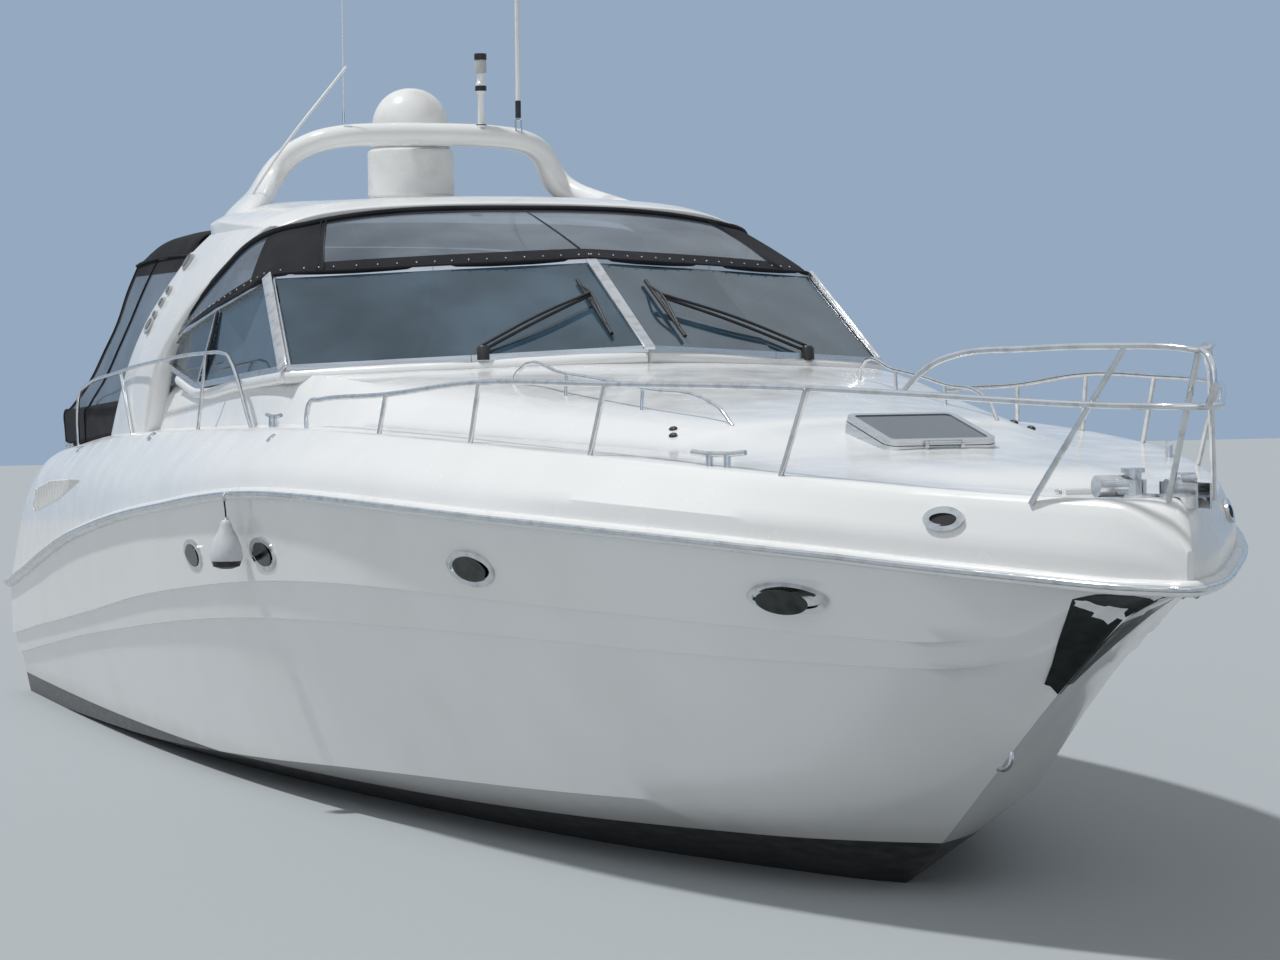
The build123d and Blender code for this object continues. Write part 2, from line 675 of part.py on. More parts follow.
with BuildPart() as windshield_frame:
    for side in (-1, 1):
        for top in (False, True):
            for near, far in ((0, 0.5), (0.5, 1)):
                a = screen_point(near, top)
                b = screen_point(far, top)
                add(bar((a[0], side * a[1], a[2]), (b[0], side * b[1], b[2]), FRAME, FRAME))
        foot = screen_point(1, False)
        head = screen_point(1, True)
        add(bar((foot[0], side * foot[1], foot[2]), (head[0], side * head[1], head[2]), FRAME, FRAME))
        ring = [(x, side * y, z) for x, y, z in SIDE_WINDOW]
        for a, b in zip(ring, ring[1:]):
            add(bar(a, b, FRAME, FRAME))
        add(bar((-1780, side * 1640, 2096), (-1400, side * 1608, 2520), 22, 22))
    add(bar(screen_point(0, False), screen_point(0, True), 46, FRAME + 6))
    add(deck.part, mode=Mode.SUBTRACT)
    for glass in (windshield_port, windshield_stbd, side_glass_port, side_glass_stbd):
        add(glass.part, mode=Mode.SUBTRACT)

# Arch with its hardtop, hoop and dome
with BuildPart() as arch:
    for side in (-1, 1):
        sections = []
        for row in ARCH_LEG:
            y_out = side * row.y_out
            y_in = side * (row.y_out - row.wall)
            sections.append(
                [
                    (row.x_aft, y_out, row.z),
                    (row.x_front, y_out, row.z),
                    (row.x_front, y_in, row.z),
                    (row.x_aft, y_in, row.z),
                ]
            )
        add(ruled(sections))
    top_sections = []
    for y, z, x_aft, x_front in (
        (-ARCH_TOP_HALF_Y - 60, 2925, -2600, -1120),
        (-1180, 3040, -2720, -1030),
        (-600, 3080, -3100, -990),
        (0, ARCH_TOP_Z, -3380, -980),
        (600, 3080, -3100, -990),
        (1180, 3040, -2720, -1030),
        (ARCH_TOP_HALF_Y + 60, 2925, -2600, -1120),
    ):
        top_sections.append(
            [
                (x_aft, y, z + 20),
                (x_front, y, z - 40),
                (x_front, y, z),
                (x_front - 300, y, z + 50),
                (x_aft + 200, y, z + ARCH_TOP_THICK + 10),
                (x_aft, y, z + ARCH_TOP_THICK),
            ]
        )
    add(ruled(top_sections))
    add(deck.part, mode=Mode.SUBTRACT)
    add(windshield_frame.part, mode=Mode.SUBTRACT)
    add(side_glass_port.part, mode=Mode.SUBTRACT)
    add(side_glass_stbd.part, mode=Mode.SUBTRACT)

with BuildPart() as arch_hoop:
    HOOP = [
        (HOOP_X + 60, -1030, 3080),
        (HOOP_X, -930, 3330),
        (HOOP_X - 50, -720, 3520),
        (HOOP_X - 70, -420, HOOP_TOP_Z),
        (HOOP_X - 70, 420, HOOP_TOP_Z),
        (HOOP_X - 50, 720, 3520),
        (HOOP_X, 930, 3330),
        (HOOP_X + 60, 1030, 3080),
    ]
    sections = []
    for i, (x, y, z) in enumerate(HOOP):
        before = Vector(*HOOP[max(i - 1, 0)])
        after = Vector(*HOOP[min(i + 1, len(HOOP) - 1)])
        along = (after - before).normalized()
        across = along.cross(Vector(1, 0, 0)).normalized()
        half_x, half_t = HOOP_TUBE[0] / 2, HOOP_TUBE[1] / 2
        ring = []
        for a, b in ((-1, 0), (-0.6, -0.9), (0.6, -0.9), (1, 0), (0.6, 0.9), (-0.6, 0.9)):
            p = Vector(x, y, z) + Vector(1, 0, 0) * (a * half_x) + across * (b * half_t)
            ring.append((p.X, p.Y, p.Z))
        sections.append(ring)
    add(ruled(sections))
    add(arch.part, mode=Mode.SUBTRACT)
    for scrap in arch_hoop.solids().sort_by(SortBy.VOLUME)[:-1]:
        add(scrap, mode=Mode.SUBTRACT)

with BuildPart() as satellite_dome:
    with Locations((DOME_X, 0, 3110)):
        Cylinder(DOME_R, 400, align=(Align.CENTER, Align.CENTER, Align.MIN))
    with Locations((DOME_X, 0, 3510)):
        Cone(DOME_R, DOME_R - 34, 60, align=(Align.CENTER, Align.CENTER, Align.MIN))
    with Locations((DOME_X, 0, 3570)):
        Cylinder(DOME_R - 34, DOME_TOP_Z - 3570 - DOME_R + 34 + 1, align=(Align.CENTER, Align.CENTER, Align.MIN))
    with Locations((DOME_X, 0, DOME_TOP_Z - DOME_R + 34)):
        Sphere(DOME_R - 34, arc_size1=0)
    add(arch.part, mode=Mode.SUBTRACT)
    for scrap in satellite_dome.solids().sort_by(Axis.Z)[:-1]:
        add(scrap, mode=Mode.SUBTRACT)

# Aerials and the light mast
with BuildPart() as antenna_stbd:
    add(rod((-2560, -1270, 2950), (-3420, -520, 4080), 14))
    add(arch.part, mode=Mode.SUBTRACT)
    for scrap in antenna_stbd.solids().sort_by(Axis.Z)[:-1]:
        add(scrap, mode=Mode.SUBTRACT)
WHIP_AXIS = (-2690, 560, 3660)
fixed, whip_barrel, whip_bore = hinge(WHIP_AXIS, 12, 8)
with arch_hoop:
    add(fixed)
    for y in (574, 538):
        add(block((WHIP_AXIS[0] - 9, y, 3540), (WHIP_AXIS[0] + 9, y + 8, 3662)))
with BuildPart() as antenna_port:
    add(rod(WHIP_AXIS, (-2690, 560, 5200), 11))
    add(whip_barrel)
    add(whip_bore, mode=Mode.SUBTRACT)
with BuildPart() as light_mast:
    with Locations((-2690, 280, 3500)):
        Cylinder(22, 520, align=(Align.CENTER, Align.CENTER, Align.MIN))
    with Locations((-2690, 280, 4000)):
        Cylinder(38, 110, align=(Align.CENTER, Align.CENTER, Align.MIN))
    add(arch_hoop.part, mode=Mode.SUBTRACT)
    for scrap in light_mast.solids().sort_by(Axis.Z)[:-1]:
        add(scrap, mode=Mode.SUBTRACT)

# Canvas forward and aft of the arch
with BuildPart() as front_canvas:
    sections = []
    for share, side in ((0.97, -1), (0.5, -1), (0, 1), (0.5, 1), (0.97, 1)):
        top = Vector(*screen_point(share, True))
        low = Vector(top.X - 14, side * top.Y, top.Z + 8)
        high = Vector(-1000, side * 1340 * share, 3040 - 130 * share**3)
        normal = Vector(5, 0, 5)
        sections.append([(p.X, p.Y, p.Z) for p in (low, high, high + normal, low + normal)])
    add(ruled(sections))
    add(windshield_frame.part, mode=Mode.SUBTRACT)
    add(arch.part, mode=Mode.SUBTRACT)
    for scrap in front_canvas.solids().sort_by(SortBy.VOLUME)[:-1]:
        add(scrap, mode=Mode.SUBTRACT)

# Side curtain, one row a height: its front edge along the arch, its aft edge down to the transom
CurtainRow = namedtuple("CurtainRow", "x_front y_front z_front x_aft y_aft z_aft")
CURTAIN = [
    CurtainRow(-3560, 1690, 1770, -5290, 1690, 1590),
    CurtainRow(-3470, 1695, 1950, -5310, 1700, 1905),
    CurtainRow(-3385, 1688, 2060, -5090, 1672, 1953),
    CurtainRow(-3330, 1680, 2130, -4840, 1620, 2094),
    CurtainRow(-3030, 1600, 2480, -4420, 1528, 2480),
    CurtainRow(-2700, 1440, 2840, -4160, 1450, 2830),
]
RoofRow = namedtuple("RoofRow", "x y_edge z_edge y_high z_high z_crown")
CANVAS_ROOF = [
    RoofRow(-2700, 1440, 2846, 1290, 2985, 3030),
    RoofRow(-3300, 1443, 2858, 1290, 2990, 3050),
    RoofRow(-3760, 1446, 2850, 1285, 2975, 3050),
    RoofRow(-4160, 1450, 2828, 1260, 2890, 2950),
]
SKIN = 8
aft_canvas_solids = []
for side in (-1, 1):
    sections = []
    for row in CURTAIN:
        front = (row.x_front, side * row.y_front, row.z_front)
        aft = (row.x_aft, side * row.y_aft, row.z_aft)
        aft_in = (row.x_aft, side * (row.y_aft - SKIN), row.z_aft)
        front_in = (row.x_front, side * (row.y_front - SKIN), row.z_front)
        sections.append([front, aft, aft_in, front_in])
    aft_canvas_solids.append(
        standing(ruled(sections), arch.part, stretch_of(DECK_HALVES, -5450, -3300, side))
    )
back = []
for row in CURTAIN:
    half = row.y_aft - SKIN
    x, bow, z = row.x_aft, row.x_aft - 50, row.z_aft
    outer = [(x, -half, z), (bow, -half / 2, z), (bow, half / 2, z), (x, half, z)]
    back.append(outer + [(x + SKIN, y, z) for x, y, z in reversed(outer)])
aft_canvas_solids.append(standing(ruled(back), stretch_of(DECK_HALVES, -5450, -3300)))
roof = []
for row in CANVAS_ROOF:
    top = [
        (-row.y_edge, row.z_edge),
        (-row.y_high, row.z_high),
        (-700, row.z_crown),
        (700, row.z_crown),
        (row.y_high, row.z_high),
        (row.y_edge, row.z_edge),
    ]
    low = [(y * 0.995, z - SKIN) for y, z in reversed(top)]
    roof.append([(row.x, y, z + SKIN) for y, z in top + low])
aft_canvas_solids.append(standing(ruled(roof), arch.part, *aft_canvas_solids))
aft_canvas = Compound(children=aft_canvas_solids)

# Foredeck hatch: frame let into the deck, lid hung at its forward edge
LidPlace = namedtuple("LidPlace", "x_aft z_aft x_fore z_fore half_y")
HATCH = LidPlace(4020, 1941, 4420, 1846, 225)
hatch_plane = Plane(
    origin=(HATCH.x_aft, 0, HATCH.z_aft),
    x_dir=(HATCH.x_fore - HATCH.x_aft, 0, HATCH.z_fore - HATCH.z_aft),
    z_dir=(HATCH.z_aft - HATCH.z_fore, 0, HATCH.x_fore - HATCH.x_aft),
)
HATCH_LONG = Vector(HATCH.x_fore - HATCH.x_aft, 0, HATCH.z_fore - HATCH.z_aft).length
with BuildPart() as foredeck_hatch_frame:
    with BuildSketch(hatch_plane.offset(-120)):
        with Locations((HATCH_LONG / 2, 0)):
            RectangleRounded(HATCH_LONG + 60, 2 * HATCH.half_y + 60, 60)
            RectangleRounded(HATCH_LONG, 2 * HATCH.half_y, 45, mode=Mode.SUBTRACT)
    extrude(amount=130)
with BuildPart() as hatch_well:
    with BuildSketch(hatch_plane.offset(-120)):
        with Locations((HATCH_LONG / 2, 0)):
            RectangleRounded(HATCH_LONG + 60, 2 * HATCH.half_y + 60, 60)
    extrude(amount=260)
with BuildPart() as foredeck_hatch_lid:
    with BuildSketch(hatch_plane.offset(12)):
        with Locations((HATCH_LONG / 2, 0)):
            RectangleRounded(HATCH_LONG + 50, 2 * HATCH.half_y + 50, 55)
    extrude(amount=22)
    LID_AXIS = tuple(hatch_plane.from_local_coords(Vector(HATCH_LONG + 35, 0, 23)))
    fixed, lid_barrel, lid_bore = hinge(LID_AXIS, 70, 16)
    add(lid_barrel)
    add(lid_bore, mode=Mode.SUBTRACT)
with foredeck_hatch_frame:
    add(fixed)
    for y in (72, -88):
        with BuildSketch(hatch_plane.offset(-30)):
            with Locations((HATCH_LONG + 35, y + 8)):
                Rectangle(14, 16)
        extrude(amount=54)
with deck:
    add(hatch_well.part, mode=Mode.SUBTRACT)
    add(foredeck_hatch_frame.part, mode=Mode.SUBTRACT)

# Anchor locker lid, hung at its aft edge
LOCKER_X = (5640, 5890)
LOCKER_HALF_Y = 105
with BuildPart() as locker_well:
    add(block((LOCKER_X[0], -LOCKER_HALF_Y, 1540), (LOCKER_X[1], LOCKER_HALF_Y, 2000)))
LOCKER_AXIS = (LOCKER_X[0] - 4, 0, 1706)
fixed, locker_barrel, locker_bore = hinge(LOCKER_AXIS, 80, 16)
with deck:
    add(locker_well.part, mode=Mode.SUBTRACT)
    add(fixed)
    for y in (82, -98):
        add(block((LOCKER_AXIS[0] - 9, y, 1640), (LOCKER_AXIS[0] + 3, y + 16, 1706)))
with BuildPart() as anchor_locker_lid:
    with BuildSketch(Plane.XZ.offset(-(LOCKER_HALF_Y - 6))):
        with BuildLine():
            x_aft, x_fore = LOCKER_X[0] + 6, LOCKER_X[1] - 6
            Polyline((x_aft, 1660), (x_fore, 1652), (x_fore, 1682), (x_aft, 1692), close=True)
        make_face()
    extrude(amount=2 * (LOCKER_HALF_Y - 6))
    # the leaf that joins the lid to its barrel, over the well's edge
    add(block((LOCKER_AXIS[0] + 2, -78, 1703), (LOCKER_X[0] + 40, 78, 1709)))
    add(block((LOCKER_X[0] + 8, -78, 1680), (LOCKER_X[0] + 40, 78, 1709)))
    add(locker_barrel)
    add(locker_bore, mode=Mode.SUBTRACT)

# Bow rail: a lower tube all round, an upper one at the bow, and posts up from the deck
FOOT_SINK = 40
BOW_MAIN = [(845, 1720, 1860), (822, 1713, 1960), (850, 1707, 2018), (980, 1694, 2036)]
BOW_MAIN += [(post.top_x, post.top_y, post.top_z) for post in BOW_POSTS[1:]] + PULPIT_NOSE


def both_sides(points, tip):
    """Starboard points out to the tip on the centreline, and back along port."""
    return [(x, -y, z) for x, y, z in points] + [tip] + list(reversed(points))


def railing(lines, posts, radius):
    """Tubes along the lines and posts up to them, each cut by the deck and by those before it."""
    tubes = []
    for line in lines:
        stretches = pipe(line, radius)
        for end, spot in ((0, line[0]), (-1, line[-1])):
            close = [t for t in tubes if t.distance_to(Vertex(*spot)) < 60]
            stretches[end] = standing(stretches[end], deck_under(*spot[:2]), *close)
        tubes += stretches
    uprights = []
    for foot, top in posts:
        close = [t for t in tubes if t.distance_to(Vertex(*top)) < 60]
        uprights.append(standing(rod(foot, top, radius - 1), deck_under(*foot[:2]), *close))
    return Compound(children=tubes + uprights)


rail_feet = [
    ((post.x, side * post.y, post.z - FOOT_SINK), (post.top_x, side * post.top_y, post.top_z))
    for side in (-1, 1)
    for post in BOW_POSTS[1:]
]
rail_feet += [((5988, side * 378, 1660), (6330, side * 170, 2245)) for side in (-1, 1)]
rail_feet.append(((6330, 0, 1664), (6558, 0, 2230)))
bow_lines = [both_sides(BOW_MAIN, PULPIT_TIP), both_sides(PULPIT_TOP, PULPIT_TOP_TIP), PULPIT_DROP]
bow_rail = railing(bow_lines, rail_feet, RAIL_R)


def gate_rail(side):
    """The long low side rail with its boarding gate, on three posts."""
    line = [(x, side * y, z) for x, y, z in GATE_RAIL]
    posts = [tuple((x, side * y, z) for x, y, z in post) for post in GATE_POSTS]
    return railing([line], posts, 11)


def trunk_rail(side):
    """The handrail along the trunk's shoulder."""
    line = [(x, side * y, z) for x, y, z in TRUNK_RAIL]
    posts = []
    for x, y in TRUNK_POSTS:
        top_z = next(z for px, _, z in TRUNK_RAIL if px == x)
        posts.append(((x, side * (y + 8), top_z - 200), (x, side * y, top_z)))
    return railing([line], posts, 9)


gate_rail_stbd = gate_rail(-1)
gate_rail_port = gate_rail(1)
trunk_rail_stbd = trunk_rail(-1)
trunk_rail_port = trunk_rail(1)


def ring_of(outer, inner, thick, plane):
    """An oval ring lying on a plane, its outer and inner half-axes given."""
    with BuildPart() as made:
        with BuildSketch(plane):
            Ellipse(*outer)
            Ellipse(*inner, mode=Mode.SUBTRACT)
        extrude(amount=thick)
    return made.part


def side_plane(x, z, side, deck_side=False):
    """A plane on the hull's or the gunwale's side at x and z, facing outboard, x_dir forward."""
    spots = []
    for dx, dz in ((0, 0), (60, 0), (0, 40)):
        row = lerp_station(x + dx)
        if deck_side:
            knuckle = gunwale_z(row)
            share = (z + dz - knuckle) / (row.z_edge - 22 - knuckle)
            y = row.y_rail + (row.y_edge + 30 - row.y_rail) * share
        else:
            y = side_y(row, z + dz) + (2 * JOG if z + dz > row.z_high else JOG)
        spots.append(Vector(x + dx, side * y, z + dz))
    forward = (spots[1] - spots[0]).normalized()
    up = (spots[2] - spots[0]).normalized()
    return Plane(origin=spots[0], x_dir=forward, z_dir=forward.cross(up) * -side)


def portholes(side):
    """The four oval portholes of one side, each a bright ring round a dark pane."""
    solids = []
    for port in PORTHOLES:
        plane = side_plane(port.x, port.z, side)
        outer = (port.long / 2, port.tall / 2)
        inner = (port.long / 2 - 26, port.tall / 2 - 26)
        ring = ring_of(outer, inner, 30, plane.offset(-20))
        with BuildPart() as lens:
            with BuildSketch(plane.offset(-14)):
                Ellipse(*inner)
            extrude(amount=16)
        beside = hull_beside(port.x, side)
        solids.append(standing(ring, beside))
        solids.append(standing(lens.part.solid(), beside, ring))
    return Compound(children=solids)


portholes_stbd = portholes(-1)
portholes_port = portholes(1)
hawse_rings = Compound(
    children=[
        standing(
            ring_of((86, 48), (58, 22), 34, side_plane(HAWSE[0], HAWSE[2], side, True).offset(-18)),
            deck_under(HAWSE[0], side, 200),
        )
        for side in (-1, 1)
    ]
)


def cleat(x, y, z, turn, long=280):
    """A horned cleat: two stout feet under one bar."""
    at = Plane(origin=(x, y, z), z_dir=(0, 0, 1)).rotated((0, 0, turn))
    along = at.x_dir
    foot = Vector(x, y, z)
    solids = []
    bar_at = foot + Vector(0, 0, 52)
    horn = pipe(
        [
            tuple(bar_at - along * (long / 2) + Vector(0, 0, 8)),
            tuple(bar_at - along * (long / 5)),
            tuple(bar_at + along * (long / 5)),
            tuple(bar_at + along * (long / 2) + Vector(0, 0, 8)),
        ],
        11,
        8,
    )
    for side in (-1, 1):
        spot = foot + along * (side * long / 6)
        post = rod(tuple(spot - Vector(0, 0, 30)), tuple(bar_at + along * (side * long / 6)), 15)
        solids.append(standing(post, deck_under(x, y, 200), *horn))
    return horn + solids


cleats = Compound(
    children=[
        piece
        for side in (-1, 1)
        for spot in (
            (4500, side * 1010, 1784, -side * 28),
            (205, side * 1720, 1896, 0),
            (-5050, side * 1722, 1652, 0),
        )
        for piece in cleat(*spot)
    ]
)

# Windlass and anchor roller
with BuildPart() as windlass:
    add(block((5985, -75, 1650), (6135, 75, 1705)))
    with Locations((6060, 0, 1705)):
        Cylinder(52, 52, align=(Align.CENTER, Align.CENTER, Align.MIN))
    with Locations((6060, 0, 1757)):
        Cylinder(34, 26, align=(Align.CENTER, Align.CENTER, Align.MIN))
    with Locations((6060, 0, 1783)):
        Cylinder(46, 16, align=(Align.CENTER, Align.CENTER, Align.MIN))
    add(rod((6060, 0, 1735), (6060, -150, 1735), 40))
    add(stretch_of(DECK_HALVES, 5900, 6250), mode=Mode.SUBTRACT)
    for scrap in windlass.solids().sort_by(SortBy.VOLUME)[:-1]:
        add(scrap, mode=Mode.SUBTRACT)
with BuildPart() as anchor_roller:
    add(block((6150, 62, 1660), (6420, 70, 1752)))
    add(block((6150, 118, 1660), (6420, 126, 1752)))
    add(block((6150, 62, 1696), (6330, 126, 1706)))
    for x in (6200, 6290):
        add(rod((x, 62, 1762 if x > 6250 else 1736), (x, 126, 1762 if x > 6250 else 1736), 26))
    add(stretch_of(DECK_HALVES, 6050, 6480), mode=Mode.SUBTRACT)
    for scrap in anchor_roller.solids().sort_by(SortBy.VOLUME)[:-1]:
        add(scrap, mode=Mode.SUBTRACT)

# Windshield wipers: pivot on the trunk, arm up the glass, blade across it
WIPERS = [(-1, 0.50, 0.60, 0.34), (1, 0.50, 0.60, 0.62)]


def on_screen(share, rise, lift, side):
    """A point of a front pane: share across it, rise up it, lift off its outer face."""
    foot, top = Vector(*screen_point(share, False)), Vector(*screen_point(share, True))
    up = (top - foot).normalized()
    spot = foot + (top - foot) * rise + Vector(up.Z, 0, -up.X) * (GLASS + lift)
    return (spot.X, side * spot.Y, spot.Z)


def wiper(side, pivot, knee, blade):
    """One wiper: pivot post, a two-part arm and the blade's bar."""
    base = on_screen(pivot, -0.10, 40, side)
    head = on_screen(knee, 0.5, 40, side)
    arm = rod(base, head, 9)
    post = rod((base[0] - 20, base[1], base[2] - 90), (base[0], base[1], base[2] + 16), 24)
    low, high = on_screen(blade[0], blade[1], 22, side), on_screen(blade[2], blade[3], 22, side)
    run = bar(low, high, 16, 26, up=(1, 0, 0))
    post = standing(post, deck_under(*base[:2]))
    arm = standing(arm, post)
    return [post, arm, standing(run, post, arm)]


wipers = Compound(
    children=wiper(-1, 0.50, 0.16, (0.17, 0.78, 0.06, 0.2)) + wiper(1, 0.47, 0.14, (0.17, 0.80, 0.05, 0.24))
)

# Air intakes let into the gunwale aft
intake_solids = []
for side in (-1, 1):
    for i in range(7):
        x = -5420 + 190 * i
        tall = 250 - 22 * i
        plane = side_plane(x, 1440 - 0.20 * (x + 5420) * -1 - tall / 2 + 40, side, True)
        with BuildPart() as fin:
            with BuildSketch(plane.offset(-16)):
                Rectangle(26, tall)
            extrude(amount=26)
        intake_solids.append(standing(fin.part.solid(), deck_under(x, side)))
air_intakes = Compound(children=intake_solids)

# Running gear
shaft_dir = Vector(-1, 0, 0).rotate(Axis.Y, -SHAFT_TILT)
def shaft_point(side, back):
    """A point on the propeller shaft, back along it from the propeller's middle."""
    return Vector(PROP_X, side * SHAFT_Y, PROP_Z) - shaft_dir * back


def running_gear(side):
    """Shaft, strut and rudder stock tube of one side."""
    with BuildPart() as gear:
        start = shaft_point(side, 1750)
        end = shaft_point(side, -110)
        add(rod(tuple(start), tuple(end), SHAFT_R))
        for back, long in ((230, 150),):
            mid = shaft_point(side, back)
            add(rod(tuple(shaft_point(side, back + long / 2)), tuple(shaft_point(side, back - long / 2)), 48))
            add(bar((mid.X, mid.Y, mid.Z), (mid.X + 60, mid.Y, -300), 26, 110, up=(0, 1, 0)))
        add(hull.part, mode=Mode.SUBTRACT)
        for scrap in gear.solids().sort_by(SortBy.VOLUME)[:-1]:
            add(scrap, mode=Mode.SUBTRACT)
    return gear


def propeller(side):
    """Four blades round a hub, turning on the shaft's own line."""
    with BuildPart() as prop:
        hub = Plane(origin=tuple(shaft_point(side, 60)), z_dir=shaft_dir)
        with BuildSketch(hub):
            Circle(46)
        extrude(amount=150, taper=4)
        for turn in range(4):
            blade_plane = Plane(
                origin=tuple(shaft_point(side, -5)),
                x_dir=Vector(0, 1, 0).rotate(Axis((0, 0, 0), tuple(shaft_dir)), 90 * turn),
                z_dir=shaft_dir,
            )
            sections = []
            for reach, width, pitch in ((30, 80, 55), (110, 150, 42), (200, 165, 32), (255, 110, 26), (PROP_R, 40, 24)):
                lean = Vector(0, 1, 0).rotate(Axis.X, side * pitch)
                ring = []
                for a, b in ((-1, 0), (0, -1), (1, 0), (0, 1)):
                    y = a * width / 2 * lean.Y - b * 5 * lean.Z
                    z = a * width / 2 * lean.Z + b * 5 * lean.Y
                    p = blade_plane.from_local_coords(Vector(reach, y, z))
                    ring.append((p.X, p.Y, p.Z))
                sections.append(ring)
            add(ruled(sections))
        bore = rod(tuple(shaft_point(side, 100)), tuple(shaft_point(side, -140)), SHAFT_R + PIN_GAP)
        add(bore, mode=Mode.SUBTRACT)
    return prop


def rudder(side):
    """A plain spade rudder on its stock."""
    with BuildPart() as blade:
        with BuildSketch(Plane.XY.offset(RUDDER_BOTTOM_Z)):
            with BuildLine():
                Polyline((RUDDER_X + 120, side * SHAFT_Y), (RUDDER_X, side * SHAFT_Y + 22), (RUDDER_X - 230, side * SHAFT_Y + 5), (RUDDER_X - 230, side * SHAFT_Y - 5), (RUDDER_X, side * SHAFT_Y - 22), close=True)
            make_face()
        extrude(amount=RUDDER_TOP_Z - RUDDER_BOTTOM_Z - 50)
        with Locations((RUDDER_X, side * SHAFT_Y, RUDDER_BOTTOM_Z + 100)):
            Cylinder(
                STOCK_R,
                RUDDER_TOP_Z - RUDDER_BOTTOM_Z - 100,
                align=(Align.CENTER, Align.CENTER, Align.MIN),
            )
    return blade


running_gear_stbd = running_gear(-1)
running_gear_port = running_gear(1)
propeller_stbd = propeller(-1)
propeller_port = propeller(1)
rudder_stbd = rudder(-1)
rudder_port = rudder(1)

for name, shape in {
    "hull": hull.part,
    "deck": deck.part,
    "swim_platform": swim_platform.part,
    "rub_rail": rub_rail,
    "cockpit_sole": cockpit_sole.part,
    "engine_hatch": engine_hatch.part,
    "engine_port": engine_port.part,
    "engine_stbd": engine_stbd.part,
    "transom_door": transom_door.part,
    "companionway_door": companionway_door.part,
    "helm_console": helm_console.part,
    "steering_wheel": steering_wheel.part,
    "helm_seat": helm_seat.part,
    "cockpit_lounge": cockpit_lounge.part,
    "windshield_port": windshield_port.part,
    "windshield_stbd": windshield_stbd.part,
    "side_glass_port": side_glass_port.part,
    "side_glass_stbd": side_glass_stbd.part,
    "windshield_frame": windshield_frame.part,
    "arch": arch.part,
    "arch_hoop": arch_hoop.part,
    "satellite_dome": satellite_dome.part,
    "antenna_port": antenna_port.part,
    "antenna_stbd": antenna_stbd.part,
    "light_mast": light_mast.part,
    "front_canvas": front_canvas.part,
    "aft_canvas": aft_canvas,
    "foredeck_hatch_frame": foredeck_hatch_frame.part,
    "foredeck_hatch_lid": foredeck_hatch_lid.part,
    "anchor_locker_lid": anchor_locker_lid.part,
    "bow_rail": bow_rail,
    "gate_rail_stbd": gate_rail_stbd,
    "gate_rail_port": gate_rail_port,
    "trunk_rail_stbd": trunk_rail_stbd,
    "trunk_rail_port": trunk_rail_port,
    "portholes_stbd": portholes_stbd,
    "portholes_port": portholes_port,
    "hawse_rings": hawse_rings,
    "cleats": cleats,
    "windlass": windlass.part,
    "anchor_roller": anchor_roller.part,
    "wipers": wipers,
    "air_intakes": air_intakes,
    "running_gear_stbd": running_gear_stbd.part,
    "running_gear_port": running_gear_port.part,
    "propeller_stbd": propeller_stbd.part,
    "propeller_port": propeller_port.part,
    "rudder_stbd": rudder_stbd.part,
    "rudder_port": rudder_port.part,
}.items():
    shape.label = name
    export_step(shape, f"parts/{name}.step")
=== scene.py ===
"""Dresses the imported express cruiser: skins, glass, canvas, rails, seats and deck fittings.

Metres, +X to the bow, +Y to port, +Z up. The origin is amidships on the waterline.
"""

import json
import logging
import math
from dataclasses import dataclass, field
from enum import Enum
from typing import Dict, Iterable, List, Optional, Sequence, Tuple, Union

import bmesh
import bpy
from mathutils import Matrix, Vector

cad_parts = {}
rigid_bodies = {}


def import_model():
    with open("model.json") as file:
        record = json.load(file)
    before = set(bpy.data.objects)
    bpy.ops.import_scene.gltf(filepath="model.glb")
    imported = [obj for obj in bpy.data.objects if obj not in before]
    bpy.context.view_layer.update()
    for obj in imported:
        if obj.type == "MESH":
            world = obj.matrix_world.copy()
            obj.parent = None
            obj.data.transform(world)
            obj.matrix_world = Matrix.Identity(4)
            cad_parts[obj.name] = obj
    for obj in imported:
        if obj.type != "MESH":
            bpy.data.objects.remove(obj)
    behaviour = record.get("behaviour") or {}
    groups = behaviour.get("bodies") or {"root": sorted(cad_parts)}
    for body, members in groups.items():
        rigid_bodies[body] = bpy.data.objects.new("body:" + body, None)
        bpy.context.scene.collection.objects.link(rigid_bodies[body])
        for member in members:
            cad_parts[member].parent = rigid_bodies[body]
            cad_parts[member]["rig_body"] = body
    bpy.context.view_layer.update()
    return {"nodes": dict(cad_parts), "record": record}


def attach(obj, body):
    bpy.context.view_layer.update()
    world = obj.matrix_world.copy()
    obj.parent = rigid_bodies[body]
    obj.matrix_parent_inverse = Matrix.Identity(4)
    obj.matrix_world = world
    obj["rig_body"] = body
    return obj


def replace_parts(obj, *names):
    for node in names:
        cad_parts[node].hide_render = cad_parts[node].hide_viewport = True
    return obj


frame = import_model()
LOG = logging.getLogger("cruiser")

Point = Tuple[float, float, float]
Profile = Sequence[Tuple[float, float]]
Colour = Tuple[float, float, float]
Colour4 = Tuple[float, float, float, float]
BOAT = "boat"
SIDES = (("stbd", -1), ("port", 1))
SCREEN_TOP: Tuple[Point, Point] = ((0.147, 0.0, 2.724), (-0.550, 1.534, 2.664))


class Lay(Enum):
    """How a tube's line goes through its points."""

    SMOOTH = "smooth"
    STRAIGHT = "straight"


def meshed(name: str, shape: bmesh.types.BMesh) -> bpy.types.Mesh:
    """A mesh from a bmesh, which is freed.

    Args:
        name: The mesh's name.
        shape: The finished bmesh.

    Returns:
        The new mesh.
    """
    mesh = bpy.data.meshes.new(name)
    shape.to_mesh(mesh)
    shape.free()
    return mesh


